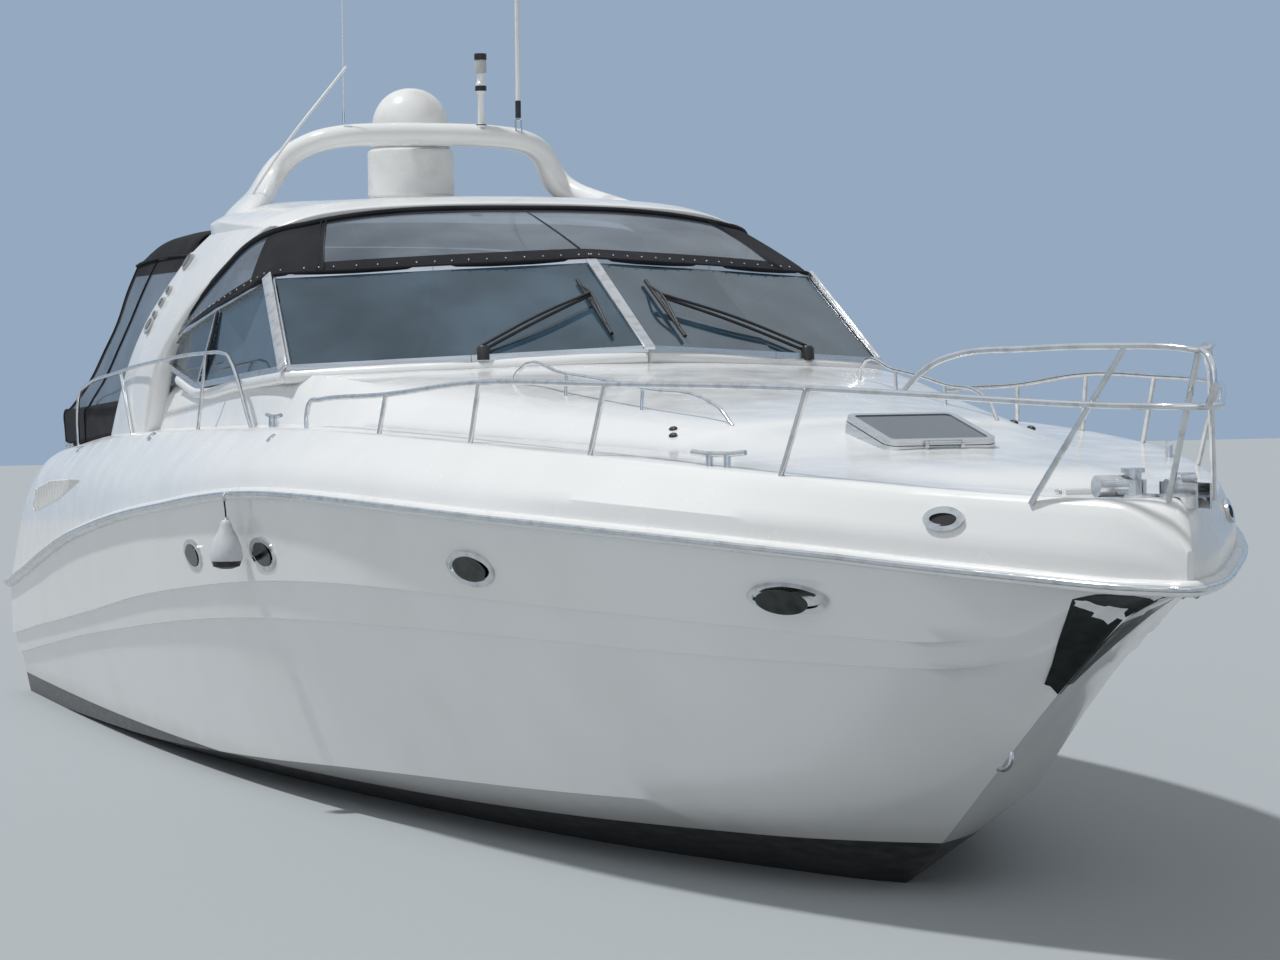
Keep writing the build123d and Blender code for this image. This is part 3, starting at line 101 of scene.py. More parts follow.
def cutter(name: str, shape: bmesh.types.BMesh) -> bpy.types.Object:
    """An object that cuts a moulding and is removed after the cut.

    Args:
        name: The object's name.
        shape: Its closed bmesh, freed here.

    Returns:
        The new object.
    """
    bmesh.ops.recalc_face_normals(shape, faces=shape.faces)
    made = bpy.data.objects.new(name, meshed(name, shape))
    bpy.context.scene.collection.objects.link(made)
    return made


def posed(
    shape: bmesh.types.BMesh, verts: Iterable[bmesh.types.BMVert], axes: Sequence[Vector], spot: Vector
) -> None:
    """Move a unit shape's points to a place.

    Args:
        shape: The bmesh that holds the points.
        verts: The points to move.
        axes: Where its x, y and z go, as long as it is to be.
        spot: Where its centre goes.
    """
    fit = Matrix(axes).transposed().to_4x4()
    fit.translation = spot
    bmesh.ops.transform(shape, matrix=fit, verts=verts)


def boxed(shape: bmesh.types.BMesh, low: Point, high: Point) -> None:
    """Add a box between two corners to a bmesh.

    Args:
        shape: The bmesh that gets the box.
        low: Its lower corner.
        high: Its upper corner.
    """
    made = bmesh.ops.create_cube(shape, size=1.0)
    middle = [(l + h) / 2 for l, h in zip(low, high)]
    size = [h - l for l, h in zip(low, high)]
    fit = Matrix.Translation(middle) @ Matrix.Diagonal((*size, 1.0))
    bmesh.ops.transform(shape, matrix=fit, verts=made["verts"])


def grid_place(vert: bmesh.types.BMVert) -> Tuple[float, float]:
    """A grid point's row and column, to sort by."""
    return round(vert.co.y, 4), round(vert.co.x, 4)


def rounded(shape: bmesh.types.BMesh, width: float, segments: int) -> None:
    """Round every edge of a bmesh.

    Args:
        shape: The bmesh being built.
        width: How far the rounding reaches from the edge.
        segments: How many steps it has.
    """
    bmesh.ops.bevel(
        shape,
        geom=list(shape.edges),
        offset=width,
        offset_type="OFFSET",
        affect="EDGES",
        segments=segments,
        profile=0.5,
        material=-1,
    )


def plated(piece: bpy.types.Object, thick: float = 0.004) -> None:
    """Give a flat piece the thickness of a plate.

    Args:
        piece: The piece's object.
        thick: How thick it gets, half to each side.
    """
    wall = piece.modifiers.new("plate", "SOLIDIFY")
    wall.thickness = thick
    wall.offset = 0.0


def whole(half: Sequence[Point]) -> List[Point]:
    """A line from starboard to port, from its port half that ends in the middle."""
    return [(x, -y, z) for x, y, z in half] + list(reversed(half[:-1]))


class Shader:
    """A new material's node tree, with short calls for the nodes it needs."""

    def __init__(self, name: str) -> None:
        """Start a material with a Principled surface on Object coordinates.

        Args:
            name: The material's name.
        """
        self.material = bpy.data.materials.new(name)
        self.material.use_nodes = True
        self.tree = self.material.node_tree
        self.tree.nodes.clear()
        output = self.tree.nodes.new("ShaderNodeOutputMaterial")
        self.surface = self.tree.nodes.new("ShaderNodeBsdfPrincipled")
        self.tree.links.new(self.surface.outputs[0], output.inputs[0])
        self.place = self.tree.nodes.new("ShaderNodeTexCoord").outputs["Object"]

    def put(self, socket: bpy.types.NodeSocket, value: object) -> None:
        """Give a socket a number, a colour or another node's output.

        Args:
            socket: The input to set.
            value: The number, the colour or the output.
        """
        if isinstance(value, bpy.types.NodeSocket):
            self.tree.links.new(value, socket)
        elif socket.type == "RGBA":
            socket.default_value = (*value, 1.0)
        else:
            socket.default_value = value

    def surfaced(self, **values: object) -> None:
        """Set the Principled surface's sockets, underscores standing for spaces."""
        for name, value in values.items():
            self.put(self.surface.inputs[name.replace("_", " ")], value)

    def stretched(self, scale: Point) -> bpy.types.NodeSocket:
        """The Object coordinates, scaled axis by axis.

        Args:
            scale: Scale of each axis.

        Returns:
            The scaled coordinates.
        """
        node = self.tree.nodes.new("ShaderNodeMapping")
        self.put(node.inputs["Vector"], self.place)
        node.inputs["Scale"].default_value = scale
        return node.outputs[0]

    def noise(
        self, scale: float, detail: float = 4.0, stretch: Optional[Point] = None
    ) -> bpy.types.NodeSocket:
        """A noise value from 0 to 1.

        Args:
            scale: How many blotches to a metre.
            detail: How many finer layers it has.
            stretch: Scale of each axis, for streaks.

        Returns:
            The noise's value.
        """
        node = self.tree.nodes.new("ShaderNodeTexNoise")
        self.put(node.inputs["Vector"], self.stretched(stretch) if stretch else self.place)
        node.inputs["Scale"].default_value = scale
        node.inputs["Detail"].default_value = detail
        return node.outputs[0]

    def cells(self, scale: float) -> bpy.types.NodeSocket:
        """Distance to the nearest cell centre, for grain and non-skid.

        Args:
            scale: How many cells to a metre.

        Returns:
            The distance.
        """
        node = self.tree.nodes.new("ShaderNodeTexVoronoi")
        self.put(node.inputs["Vector"], self.place)
        node.inputs["Scale"].default_value = scale
        return node.outputs["Distance"]

    def weave(self, scale: float, direction: str) -> bpy.types.NodeSocket:
        """One set of a cloth's threads, as bands along an axis.

        Args:
            scale: How close the threads lie.
            direction: The axis they follow each other on.

        Returns:
            The bands' value.
        """
        node = self.tree.nodes.new("ShaderNodeTexWave")
        self.put(node.inputs["Vector"], self.place)
        node.bands_direction = direction
        node.inputs["Scale"].default_value = scale
        node.inputs["Distortion"].default_value = 0.4
        return node.outputs[1]

    def maths(self, operation: str, first: object, second: object) -> bpy.types.NodeSocket:
        """One Math node.

        Args:
            operation: Blender's name of the operation.
            first: Its first value.
            second: Its second value.

        Returns:
            The result.
        """
        node = self.tree.nodes.new("ShaderNodeMath")
        node.operation = operation
        self.put(node.inputs[0], first)
        self.put(node.inputs[1], second)
        return node.outputs[0]

    def spread(
        self, value: object, low: float, high: float, to_low: float, to_high: float
    ) -> bpy.types.NodeSocket:
        """Map a value's range to another, clamped and smooth at both ends.

        Args:
            value: What is mapped.
            low: Value that maps to to_low.
            high: Value that maps to to_high.
            to_low: Result at the low end.
            to_high: Result at the high end.

        Returns:
            The mapped value.
        """
        node = self.tree.nodes.new("ShaderNodeMapRange")
        node.interpolation_type = "SMOOTHSTEP"
        for name, number in zip(
            ("Value", "From Min", "From Max", "To Min", "To Max"), (value, low, high, to_low, to_high)
        ):
            self.put(node.inputs[name], number)
        return node.outputs[0]

    def blend(self, share: object, first: object, second: object) -> bpy.types.NodeSocket:
        """One colour turning into another as share goes from 0 to 1.

        Args:
            share: How much of the second colour shows.
            first: The colour at 0.
            second: The colour at 1.

        Returns:
            The mixed colour.
        """
        node = self.tree.nodes.new("ShaderNodeMix")
        node.data_type = "RGBA"
        self.put(node.inputs[0], share)
        self.put(node.inputs[6], first)
        self.put(node.inputs[7], second)
        return node.outputs[2]

    def axes(self) -> Tuple[bpy.types.NodeSocket, ...]:
        """The Object coordinates' x, y and z.

        Returns:
            The three axes' outputs.
        """
        node = self.tree.nodes.new("ShaderNodeSeparateXYZ")
        self.put(node.inputs[0], self.place)
        return tuple(node.outputs)

    def bump(self, height: bpy.types.NodeSocket, strength: float, depth: float) -> None:
        """Lift the surface by a height pattern.

        Args:
            height: The pattern.
            strength: How much of it shows, 0 to 1.
            depth: Its height in metres.
        """
        node = self.tree.nodes.new("ShaderNodeBump")
        node.inputs["Strength"].default_value = strength
        node.inputs["Distance"].default_value = depth
        self.put(node.inputs["Height"], height)
        self.put(self.surface.inputs["Normal"], node.outputs[0])


@dataclass(frozen=True)
class Finish:
    """A finish that paints one new material."""

    name: str

    def paint(self, shader: Shader) -> None:
        """Set up the surface, which each finish does in its own way."""
        raise NotImplementedError(self.name)

    def build(self) -> bpy.types.Material:
        """Make the material.

        Returns:
            The painted material.
        """
        shader = Shader(self.name)
        self.paint(shader)
        return shader.material


@dataclass(frozen=True)
class Gelcoat(Finish):
    """Glossy white moulding, a little chalked and dusty."""

    name: str = "white_gelcoat"
    clean: Colour = (0.83, 0.84, 0.84)
    dusty: Colour = (0.70, 0.705, 0.69)

    def base(self, shader: Shader) -> bpy.types.NodeSocket:
        """The moulding's colour, with soft blotches and run marks.

        Args:
            shader: The new material's nodes.

        Returns:
            The colour.
        """
        blotch = shader.spread(shader.noise(1.3, 3.0), 0.35, 0.75, 0.0, 0.30)
        runs = shader.spread(shader.noise(3.0, 4.0, (3.0, 3.0, 0.25)), 0.60, 0.82, 0.0, 0.08)
        return shader.blend(shader.maths("MAXIMUM", blotch, runs), self.clean, self.dusty)

    def paint(self, shader: Shader) -> None:
        """Set up the surface.

        Args:
            shader: The new material's nodes.
        """
        shader.surfaced(
            Base_Color=self.base(shader),
            Roughness=shader.spread(shader.noise(5.0, 5.0), 0.3, 0.8, 0.16, 0.30),
            Coat_Weight=0.35,
            Coat_Roughness=0.05,
        )
        shader.bump(shader.noise(14.0, 2.0), 0.10, 0.002)


@dataclass(frozen=True)
class HullGelcoat(Gelcoat):
    """The same moulding with black antifouling up to the boot line and a scum line over it."""

    name: str = "hull_gelcoat_and_boot"
    black: Colour = (0.012, 0.013, 0.015)
    faded: Colour = (0.060, 0.062, 0.060)
    scum: Colour = (0.42, 0.40, 0.33)
    boot_run: Tuple[float, float] = (0.2, 6.2)
    boot_aft: float = 0.130
    boot_stem: float = 0.235

    def paint(self, shader: Shader) -> None:
        """Set up the surface.

        Args:
            shader: The new material's nodes.
        """
        along, _, up = shader.axes()
        top = shader.spread(along, *self.boot_run, self.boot_aft, self.boot_stem)
        over = shader.maths("SUBTRACT", up, top)
        painted = shader.spread(over, -0.0015, 0.0015, 1.0, 0.0)
        wet = shader.spread(
            shader.maths("ADD", up, shader.maths("MULTIPLY", shader.noise(6.0), 0.05)), 0.02, 0.09, 0.0, 1.0
        )
        fade = shader.maths(
            "MULTIPLY", wet, shader.spread(shader.noise(9.0, 6.0, (1.0, 1.0, 4.0)), 0.35, 0.75, 0.15, 1.0)
        )
        paint = shader.blend(fade, self.black, self.faded)
        stain = shader.spread(
            shader.maths("ADD", over, shader.maths("MULTIPLY", shader.noise(4.0, 5.0), 0.10)), 0.05, 0.17,
            0.28, 0.0,
        )
        white = shader.blend(stain, self.base(shader), self.scum)
        shader.surfaced(
            Base_Color=shader.blend(painted, white, paint),
            Roughness=shader.blend(painted, (0.19, 0.19, 0.19), (0.55, 0.55, 0.55)),
            Coat_Weight=0.3,
            Coat_Roughness=0.06,
        )
        shader.bump(shader.noise(9.0, 2.0), 0.10, 0.002)


@dataclass(frozen=True)
class Metal(Finish):
    """Polished or satin metal with faint wear."""

    colour: Colour
    dull: Colour
    smooth: float
    rough: float
    grain: Point = (1.0, 1.0, 1.0)

    def paint(self, shader: Shader) -> None:
        """Set up the surface.

        Args:
            shader: The new material's nodes.
        """
        wear = shader.noise(18.0, 5.0, self.grain)
        shader.surfaced(
            Base_Color=shader.blend(shader.spread(wear, 0.4, 0.8, 0.0, 1.0), self.colour, self.dull),
            Metallic=1.0,
            Roughness=shader.spread(wear, 0.3, 0.8, self.smooth, self.rough),
        )
        shader.bump(shader.noise(90.0, 2.0), 0.05, 0.0005)


@dataclass(frozen=True)
class Pane(Finish):
    """See-through sheet: tinted glass, smoked acrylic or clear vinyl."""

    colour: Colour
    haze: Colour
    cover: float
    smooth: float
    ripple: float

    def paint(self, shader: Shader) -> None:
        """Set up the surface.

        Args:
            shader: The new material's nodes.
        """
        cloud = shader.spread(shader.noise(2.2, 4.0), 0.3, 0.8, 0.0, 1.0)
        shader.surfaced(
            Base_Color=shader.blend(cloud, self.colour, self.haze),
            Roughness=shader.spread(shader.noise(7.0, 4.0), 0.3, 0.8, self.smooth, self.smooth + 0.06),
            Alpha=self.cover,
            IOR=1.5,
            Specular_IOR_Level=0.6,
            Coat_Weight=0.3,
            Coat_Roughness=0.03,
        )
        if self.ripple:
            shader.bump(shader.noise(3.0, 2.0), 0.3, self.ripple)


@dataclass(frozen=True)
class Plastic(Finish):
    """Moulded plastic, rubber or paint with a fine grain."""

    colour: Colour
    worn: Colour
    rough: float
    grain: float = 60.0
    depth: float = 0.0006

    def paint(self, shader: Shader) -> None:
        """Set up the surface.

        Args:
            shader: The new material's nodes.
        """
        wear = shader.noise(8.0, 6.0)
        shader.surfaced(
            Base_Color=shader.blend(shader.spread(wear, 0.45, 0.8, 0.0, 1.0), self.colour, self.worn),
            Roughness=shader.spread(wear, 0.3, 0.8, self.rough, min(self.rough + 0.12, 1.0)),
        )
        shader.bump(shader.noise(self.grain, 3.0), 0.25, self.depth)


@dataclass(frozen=True)
class NonSkid(Finish):
    """Moulded non-skid: close round studs in pale gelcoat, dirt between them."""

    name: str = "nonskid_studs"
    top: Colour = (0.78, 0.785, 0.77)
    grime: Colour = (0.58, 0.575, 0.55)

    def paint(self, shader: Shader) -> None:
        """Set up the surface.

        Args:
            shader: The new material's nodes.
        """
        studs = shader.cells(160.0)
        dirt = shader.maths(
            "MULTIPLY", shader.spread(studs, 0.3, 0.7, 0.0, 0.7),
            shader.spread(shader.noise(2.5, 5.0), 0.3, 0.7, 0.3, 1.0),
        )
        shader.surfaced(Base_Color=shader.blend(dirt, self.top, self.grime), Roughness=0.62)
        shader.bump(shader.maths("SUBTRACT", 1.0, studs), 0.8, 0.001)


@dataclass(frozen=True)
class Cloth(Finish):
    """Dark acrylic canvas or rope fibre: crossed threads, salt-faded in patches."""

    name: str = "dark_canvas"
    dyed: Colour = (0.007, 0.008, 0.011)
    faded: Colour = (0.018, 0.020, 0.026)
    threads: float = 300.0

    def paint(self, shader: Shader) -> None:
        """Set up the surface.

        Args:
            shader: The new material's nodes.
        """
        crossed = shader.maths("ADD", shader.weave(self.threads, "X"), shader.weave(self.threads, "Z"))
        shader.surfaced(
            Base_Color=shader.blend(
                shader.spread(shader.noise(3.5, 6.0), 0.35, 0.8, 0.0, 1.0), self.dyed, self.faded
            ),
            Roughness=0.86,
            Sheen_Weight=0.04,
            Specular_IOR_Level=0.2,
            Sheen_Roughness=0.5,
        )
        folds = shader.maths("ADD", shader.maths("MULTIPLY", crossed, 0.1), shader.noise(5.0, 2.0))
        shader.bump(folds, 0.5, 0.006)


@dataclass(frozen=True)
class Upholstery(Finish):
    """Marine vinyl with a leather-like grain and patches of wear."""

    name: str = "cushion_vinyl"
    colour: Colour = (0.74, 0.73, 0.69)
    worn: Colour = (0.60, 0.585, 0.54)

    def paint(self, shader: Shader) -> None:
        """Set up the surface.

        Args:
            shader: The new material's nodes.
        """
        shader.surfaced(
            Base_Color=shader.blend(
                shader.spread(shader.noise(4.0, 5.0), 0.4, 0.8, 0.0, 0.8), self.colour, self.worn
            ),
            Roughness=shader.spread(shader.noise(12.0, 3.0), 0.3, 0.8, 0.42, 0.56),
        )
        shader.bump(shader.cells(260.0), 0.35, 0.0006)


class Finishes:
    """Every finish of the boat, made once, by the record's slot name."""

    def __init__(self) -> None:
        """Make all the materials."""
        self.made: Dict[str, bpy.types.Material] = {
            "gelcoat": Gelcoat().build(),
            "hull_gelcoat": HullGelcoat().build(),
            "clear_glass": Pane(
                "tinted_glass", (0.016, 0.042, 0.066), (0.060, 0.115, 0.165), 0.80, 0.02, 0.0
            ).build(),
            "smoked_acrylic": Pane(
                "smoked_acrylic", (0.020, 0.030, 0.042), (0.050, 0.065, 0.080), 0.93, 0.05, 0.0
            ).build(),
            "clear_vinyl": Pane(
                "clear_vinyl_panes", (0.07, 0.10, 0.14), (0.22, 0.27, 0.33), 0.56, 0.08, 0.002
            ).build(),
            "stainless": Metal(
                "polished_stainless", (0.72, 0.73, 0.74), (0.50, 0.50, 0.50), 0.07, 0.20
            ).build(),
            "aluminium_frame": Metal(
                "anodised_frame", (0.66, 0.67, 0.68), (0.50, 0.51, 0.52), 0.22, 0.36, (0.2, 0.2, 3.0)
            ).build(),
            "bronze": Metal("dull_bronze", (0.46, 0.29, 0.12), (0.20, 0.17, 0.10), 0.35, 0.60).build(),
            "canvas": Cloth().build(),
            "nonskid": NonSkid().build(),
            "vinyl": Upholstery().build(),
            "engine_paint": Plastic("engine_paint", (0.055, 0.055, 0.060), (0.09, 0.085, 0.08), 0.35).build(),
            "black_plastic": Plastic(
                "black_plastic", (0.012, 0.012, 0.013), (0.035, 0.035, 0.036), 0.38
            ).build(),
            "white_plastic": Plastic(
                "white_plastic", (0.82, 0.83, 0.83), (0.70, 0.70, 0.68), 0.20, 20.0, 0.0004
            ).build(),
            "fender_vinyl": Plastic(
                "fender_vinyl", (0.62, 0.64, 0.67), (0.42, 0.43, 0.44), 0.42, 30.0, 0.002
            ).build(),
            # painted shade: a near-black finish for the discs that stand for the shadow inside the hawse
            # holes
            "dark_void": Plastic("painted_hole_shade_plastic", (0.010, 0.010, 0.011), (0.016, 0.016, 0.017), 0.7).build(),
            "lamp_lens": Plastic("lamp_lens", (0.48, 0.49, 0.50), (0.34, 0.35, 0.36), 0.12).build(),
            "lamp_dark": Plastic("lamp_dark_glass", (0.16, 0.17, 0.18), (0.10, 0.105, 0.11), 0.12).build(),
            # painted reflection: a near-black mirror whose darkness stands in for the dark reflections on the
            # stem plates and porthole glass
            "dark_mirror": Metal(
                "stem_painted_reflection", (0.060, 0.065, 0.062), (0.030, 0.034, 0.032), 0.10, 0.22
            ).build(),
            "cabin_lining": Plastic("cabin_lining", (0.20, 0.19, 0.175), (0.13, 0.125, 0.115), 0.6).build(),
        }

    def of(self, slot: str) -> bpy.types.Material:
        """The material that a slot is painted with."""
        return self.made[slot]

    def node_slots(self) -> Dict[str, str]:
        """Each CAD node's slot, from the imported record."""
        return {part["node"]: part["material_slot"] for part in frame["record"]["subparts"]}


class Workshop:
    """Makes finished pieces: each is one object at the origin, its place in its mesh."""

    def __init__(self, finishes: Finishes) -> None:
        """Keep the finishes at hand."""
        self.finishes = finishes
        self.slots = finishes.node_slots()

    def place(
        self, name: str, mesh: object, slot: str, body: str = BOAT, finish: Optional[str] = None
    ) -> bpy.types.Object:
        """Link a mesh or curve as a piece that rides on a body.

        Args:
            name: The piece's name.
            mesh: Its data block.
            slot: The record's slot it takes its finish from.
            body: The CAD body it moves with.
            finish: The finish's own name where it isn't the slot's.

        Returns:
            The new object.
        """
        piece = bpy.data.objects.new(name, mesh)
        bpy.context.scene.collection.objects.link(piece)
        if not mesh.materials:
            mesh.materials.append(self.finishes.of(finish or slot))
        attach(piece, body)
        LOG.info("piece %s on %s", name, body)
        return piece

    def shaped(
        self,
        name: str,
        shape: bmesh.types.BMesh,
        slot: str,
        body: str = BOAT,
        sharp: float = 0.6,
        finish: Optional[str] = None,
    ) -> bpy.types.Object:
        """Turn a bmesh into a smooth-shaded piece with its normals outward.

        Args:
            name: The piece's name.
            shape: The mesh being built; it is freed here.
            slot: The record's slot.
            body: The CAD body it moves with.
            sharp: Angle in radians past which an edge stays hard.
            finish: The finish's own name where it isn't the slot's.

        Returns:
            The new object.
        """
        bmesh.ops.recalc_face_normals(shape, faces=shape.faces)
        self.soften(shape, sharp)
        return self.place(name, meshed(name, shape), slot, body, finish)

    @staticmethod
    def soften(shape: bmesh.types.BMesh, sharp: float) -> None:
        """Shade all faces smooth but for the sharp edges.

        Args:
            shape: The mesh being built.
            sharp: Angle in radians past which an edge stays hard.
        """
        for face in shape.faces:
            face.smooth = True
        for edge in shape.edges:
            edge.smooth = len(edge.link_faces) == 2 and edge.calc_face_angle(0.0) < sharp

    def polished(
        self,
        node: str,
        sharp: float = 0.45,
        round_off: float = 0.0,
        finish: Optional[str] = None,
        pierced: bool = False,
    ) -> bpy.types.Object:
        """A merged, smooth-shaded skin of a CAD node, its edges rounded, standing for it.

        Args:
            node: The CAD node's name.
            sharp: Angle in radians past which an edge stays hard.
            round_off: Width of the edge rounding, in metres.
            finish: The finish's own name where it isn't the slot's.
            pierced: Whether flat faces with holes in them keep their triangles.

        Returns:
            The skin's object.
        """
        source = frame["nodes"][node]
        shape = bmesh.new()
        shape.from_mesh(source.data)
        bmesh.ops.remove_doubles(shape, verts=shape.verts, dist=2e-5)
        if not pierced:
            bmesh.ops.dissolve_limit(shape, angle_limit=0.004, verts=shape.verts, edges=shape.edges)
        self.soften(shape, sharp)
        mesh = meshed(node + "_skin", shape)
        piece = self.place(node + "_skin", mesh, self.slots[node], source["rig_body"], finish)
        if round_off:
            bevel = piece.modifiers.new("rounded_edges", "BEVEL")
            bevel.width = round_off
            bevel.segments = 2
            bevel.limit_method = "ANGLE"
            bevel.angle_limit = sharp
            bevel.harden_normals = True
        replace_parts(piece, node)
        return piece

    def tube(
        self,
        name: str,
        lines: Iterable[Sequence[Point]],
        radius: float,
        slot: str,
        body: str = BOAT,
        lay: Lay = Lay.SMOOTH,
        finish: Optional[str] = None,
    ) -> bpy.types.Object:
        """Round tubes through rows of points, as one curve object with closed ends.

        Args:
            name: The piece's name.
            lines: One row of points for each tube.
            radius: The tubes' radius.
            slot: The record's slot.
            body: The CAD body it moves with.
            lay: Whether the tubes bend smoothly through their points.
            finish: The finish's own name where it isn't the slot's.

        Returns:
            The new object.
        """
        curve = bpy.data.curves.new(name, "CURVE")
        curve.dimensions = "3D"
        curve.bevel_depth = radius
        curve.bevel_resolution = 3
        curve.resolution_u = 6
        curve.use_fill_caps = True
        for line in lines:
            if lay is Lay.STRAIGHT:
                spline = curve.splines.new("POLY")
                spline.points.add(len(line) - 1)
                for spot, point in zip(spline.points, line):
                    spot.co = (*point, 1.0)
            else:
                spline = curve.splines.new("BEZIER")
                spline.bezier_points.add(len(line) - 1)
                for spot, point in zip(spline.bezier_points, line):
                    spot.co = point
                    spot.handle_left_type = spot.handle_right_type = "AUTO"
            spline.use_smooth = True
        return self.place(name, curve, slot, body, finish)

    def turned(
        self,
        name: str,
        profile: Profile,
        centre: Point,
        slot: str,
        sharp: float = 0.6,
        steps: int = 48,
        finish: Optional[str] = None,
    ) -> bpy.types.Object:
        """Spin a half-profile about a vertical line.

        Args:
            name: The piece's name.
            profile: Points of the half-profile as radius and height.
            centre: Where the line's foot stands.
            slot: The record's slot.
            sharp: Angle in radians past which an edge stays hard.
            steps: How many steps the turn has.
            finish: The finish's own name where it isn't the slot's.

        Returns:
            The new object.
        """
        shape = bmesh.new()
        line = [shape.verts.new((radius, 0.0, height)) for radius, height in profile]
        edges = [shape.edges.new(pair) for pair in zip(line, line[1:])]
        bmesh.ops.spin(
            shape,
            geom=line + edges,
            cent=(0.0, 0.0, 0.0),
            axis=(0.0, 0.0, 1.0),
            angle=math.tau,
            steps=steps,
            use_merge=True,
            use_duplicate=False,
        )
        bmesh.ops.remove_doubles(shape, verts=shape.verts, dist=1e-5)
        bmesh.ops.translate(shape, verts=shape.verts, vec=centre)
        return self.shaped(name, shape, slot, BOAT, sharp, finish)


@dataclass(frozen=True)
class Studio:
    """The floor on the waterline, the backdrop's light, and the camera of the photograph."""

    lens: float = 99.29
    sensor: float = 36.0
    far: float = 400.0
    eye: Point = (17.541, -6.164, 2.226)
    yaw: float = 159.714
    pitch: float = 1.995
    roll: float = -0.6717
    floor_half: float = 60.0
    floor_colour: Colour = (0.40, 0.43, 0.45)
    floor_rough: float = 0.75
    bay: Tuple[float, float, float] = (-5.1, -2.6, 1.3)
    soft: Colour4 = (0.97, 0.985, 1.0, 1.0)
    backdrop: Colour4 = (0.30, 0.40, 0.53, 1.0)
    zenith: Colour4 = (0.66, 0.70, 0.74, 1.0)
    soft_strength: float = 0.36
    horizon_rise: Tuple[float, float] = (0.02, 0.62)
    suns: Tuple[Tuple[str, Point, float, float], ...] = (
        ("high_sun", (-0.16, -0.42, 1.0), 2.35, 3.0),
        ("bow_fill", (1.0, -0.60, 0.25), 0.34, 60.0),
    )

    def floor(self) -> None:
        """A pale floor at the waterline, open where the hull's engine bay goes below it."""
        shape = bmesh.new()
        aft, fore, half = self.bay
        for low, high, wide in ((-self.floor_half, self.floor_half, self.floor_half), (aft, fore, half)):
            outline = ((low, -wide), (high, -wide), (high, wide), (low, wide))
            corners = [shape.verts.new((x, y, 0.0)) for x, y in outline]
            for near, far in zip(corners, corners[1:] + corners[:1]):
                shape.edges.new((near, far))
        bmesh.ops.bridge_loops(shape, edges=shape.edges)
        mesh = meshed("floor", shape)
        floor = bpy.data.objects.new("floor", mesh)
        bpy.context.scene.collection.objects.link(floor)
        shader = Shader("pale_floor")
        shader.surfaced(Base_Color=self.floor_colour, Roughness=self.floor_rough)
        mesh.materials.append(shader.material)

    def light(self) -> None:
        """The suns, and a sky that each kind of ray sees in its own way.

        The camera and what is seen through glass get the plain backdrop, mirrors get a sky that
        pales towards the zenith, and all else is lit by a soft, even light.
        """
        world = bpy.data.worlds.new("pale_sky")
        bpy.context.scene.world = world
        world.use_nodes = True
        tree = world.node_tree
        tree.nodes.clear()
        output = tree.nodes.new("ShaderNodeOutputWorld")
        spot = tree.nodes.new("ShaderNodeTexCoord")
        parts = tree.nodes.new("ShaderNodeSeparateXYZ")
        height = tree.nodes.new("ShaderNodeMapRange")
        height.interpolation_type = "SMOOTHSTEP"
        height.inputs["From Min"].default_value, height.inputs["From Max"].default_value = self.horizon_rise
        shade = tree.nodes.new("ShaderNodeMix")
        shade.data_type = "RGBA"
        tree.links.new(spot.outputs["Generated"], parts.inputs[0])
        tree.links.new(parts.outputs["Z"], height.inputs["Value"])
        tree.links.new(height.outputs["Result"], shade.inputs["Factor"])
        colours = [socket for socket in shade.inputs if socket.type == "RGBA"]
        colours[0].default_value, colours[1].default_value = self.backdrop, self.zenith
        skies = []
        for colour, strength in ((self.soft, self.soft_strength), (self.zenith, 1.0), (self.backdrop, 1.0)):
            sky = tree.nodes.new("ShaderNodeBackground")
            sky.inputs["Color"].default_value = colour
            sky.inputs["Strength"].default_value = strength
            skies.append(sky)
        blended = [socket for socket in shade.outputs if socket.type == "RGBA"][0]
        tree.links.new(blended, skies[1].inputs["Color"])
        rays = tree.nodes.new("ShaderNodeLightPath")
        seen = tree.nodes.new("ShaderNodeMath")
        seen.operation = "MAXIMUM"
        tree.links.new(rays.outputs["Is Camera Ray"], seen.inputs[0])
        tree.links.new(rays.outputs["Is Transmission Ray"], seen.inputs[1])
        lit = tree.nodes.new("ShaderNodeMixShader")
        tree.links.new(rays.outputs["Is Glossy Ray"], lit.inputs[0])
        tree.links.new(skies[0].outputs[0], lit.inputs[1])
        tree.links.new(skies[1].outputs[0], lit.inputs[2])
        mix = tree.nodes.new("ShaderNodeMixShader")
        tree.links.new(seen.outputs[0], mix.inputs[0])
        tree.links.new(lit.outputs[0], mix.inputs[1])
        tree.links.new(skies[2].outputs[0], mix.inputs[2])
        tree.links.new(mix.outputs[0], output.inputs[0])
        for sun in self.suns:
            self.sun(*sun)

    @staticmethod
    def sun(name: str, toward: Point, strength: float, soft: float) -> None:
        """A sun lamp that shines from a direction.

        Args:
            name: The lamp's name.
            toward: Where it stands, seen from the boat.
            strength: Its strength.
            soft: How many degrees it is across.
        """
        lamp = bpy.data.lights.new(name, "SUN")
        lamp.energy = strength
        lamp.angle = math.radians(soft)
        holder = bpy.data.objects.new(name, lamp)
        holder.rotation_euler = Vector(toward).to_track_quat("Z", "Y").to_euler()
        bpy.context.scene.collection.objects.link(holder)

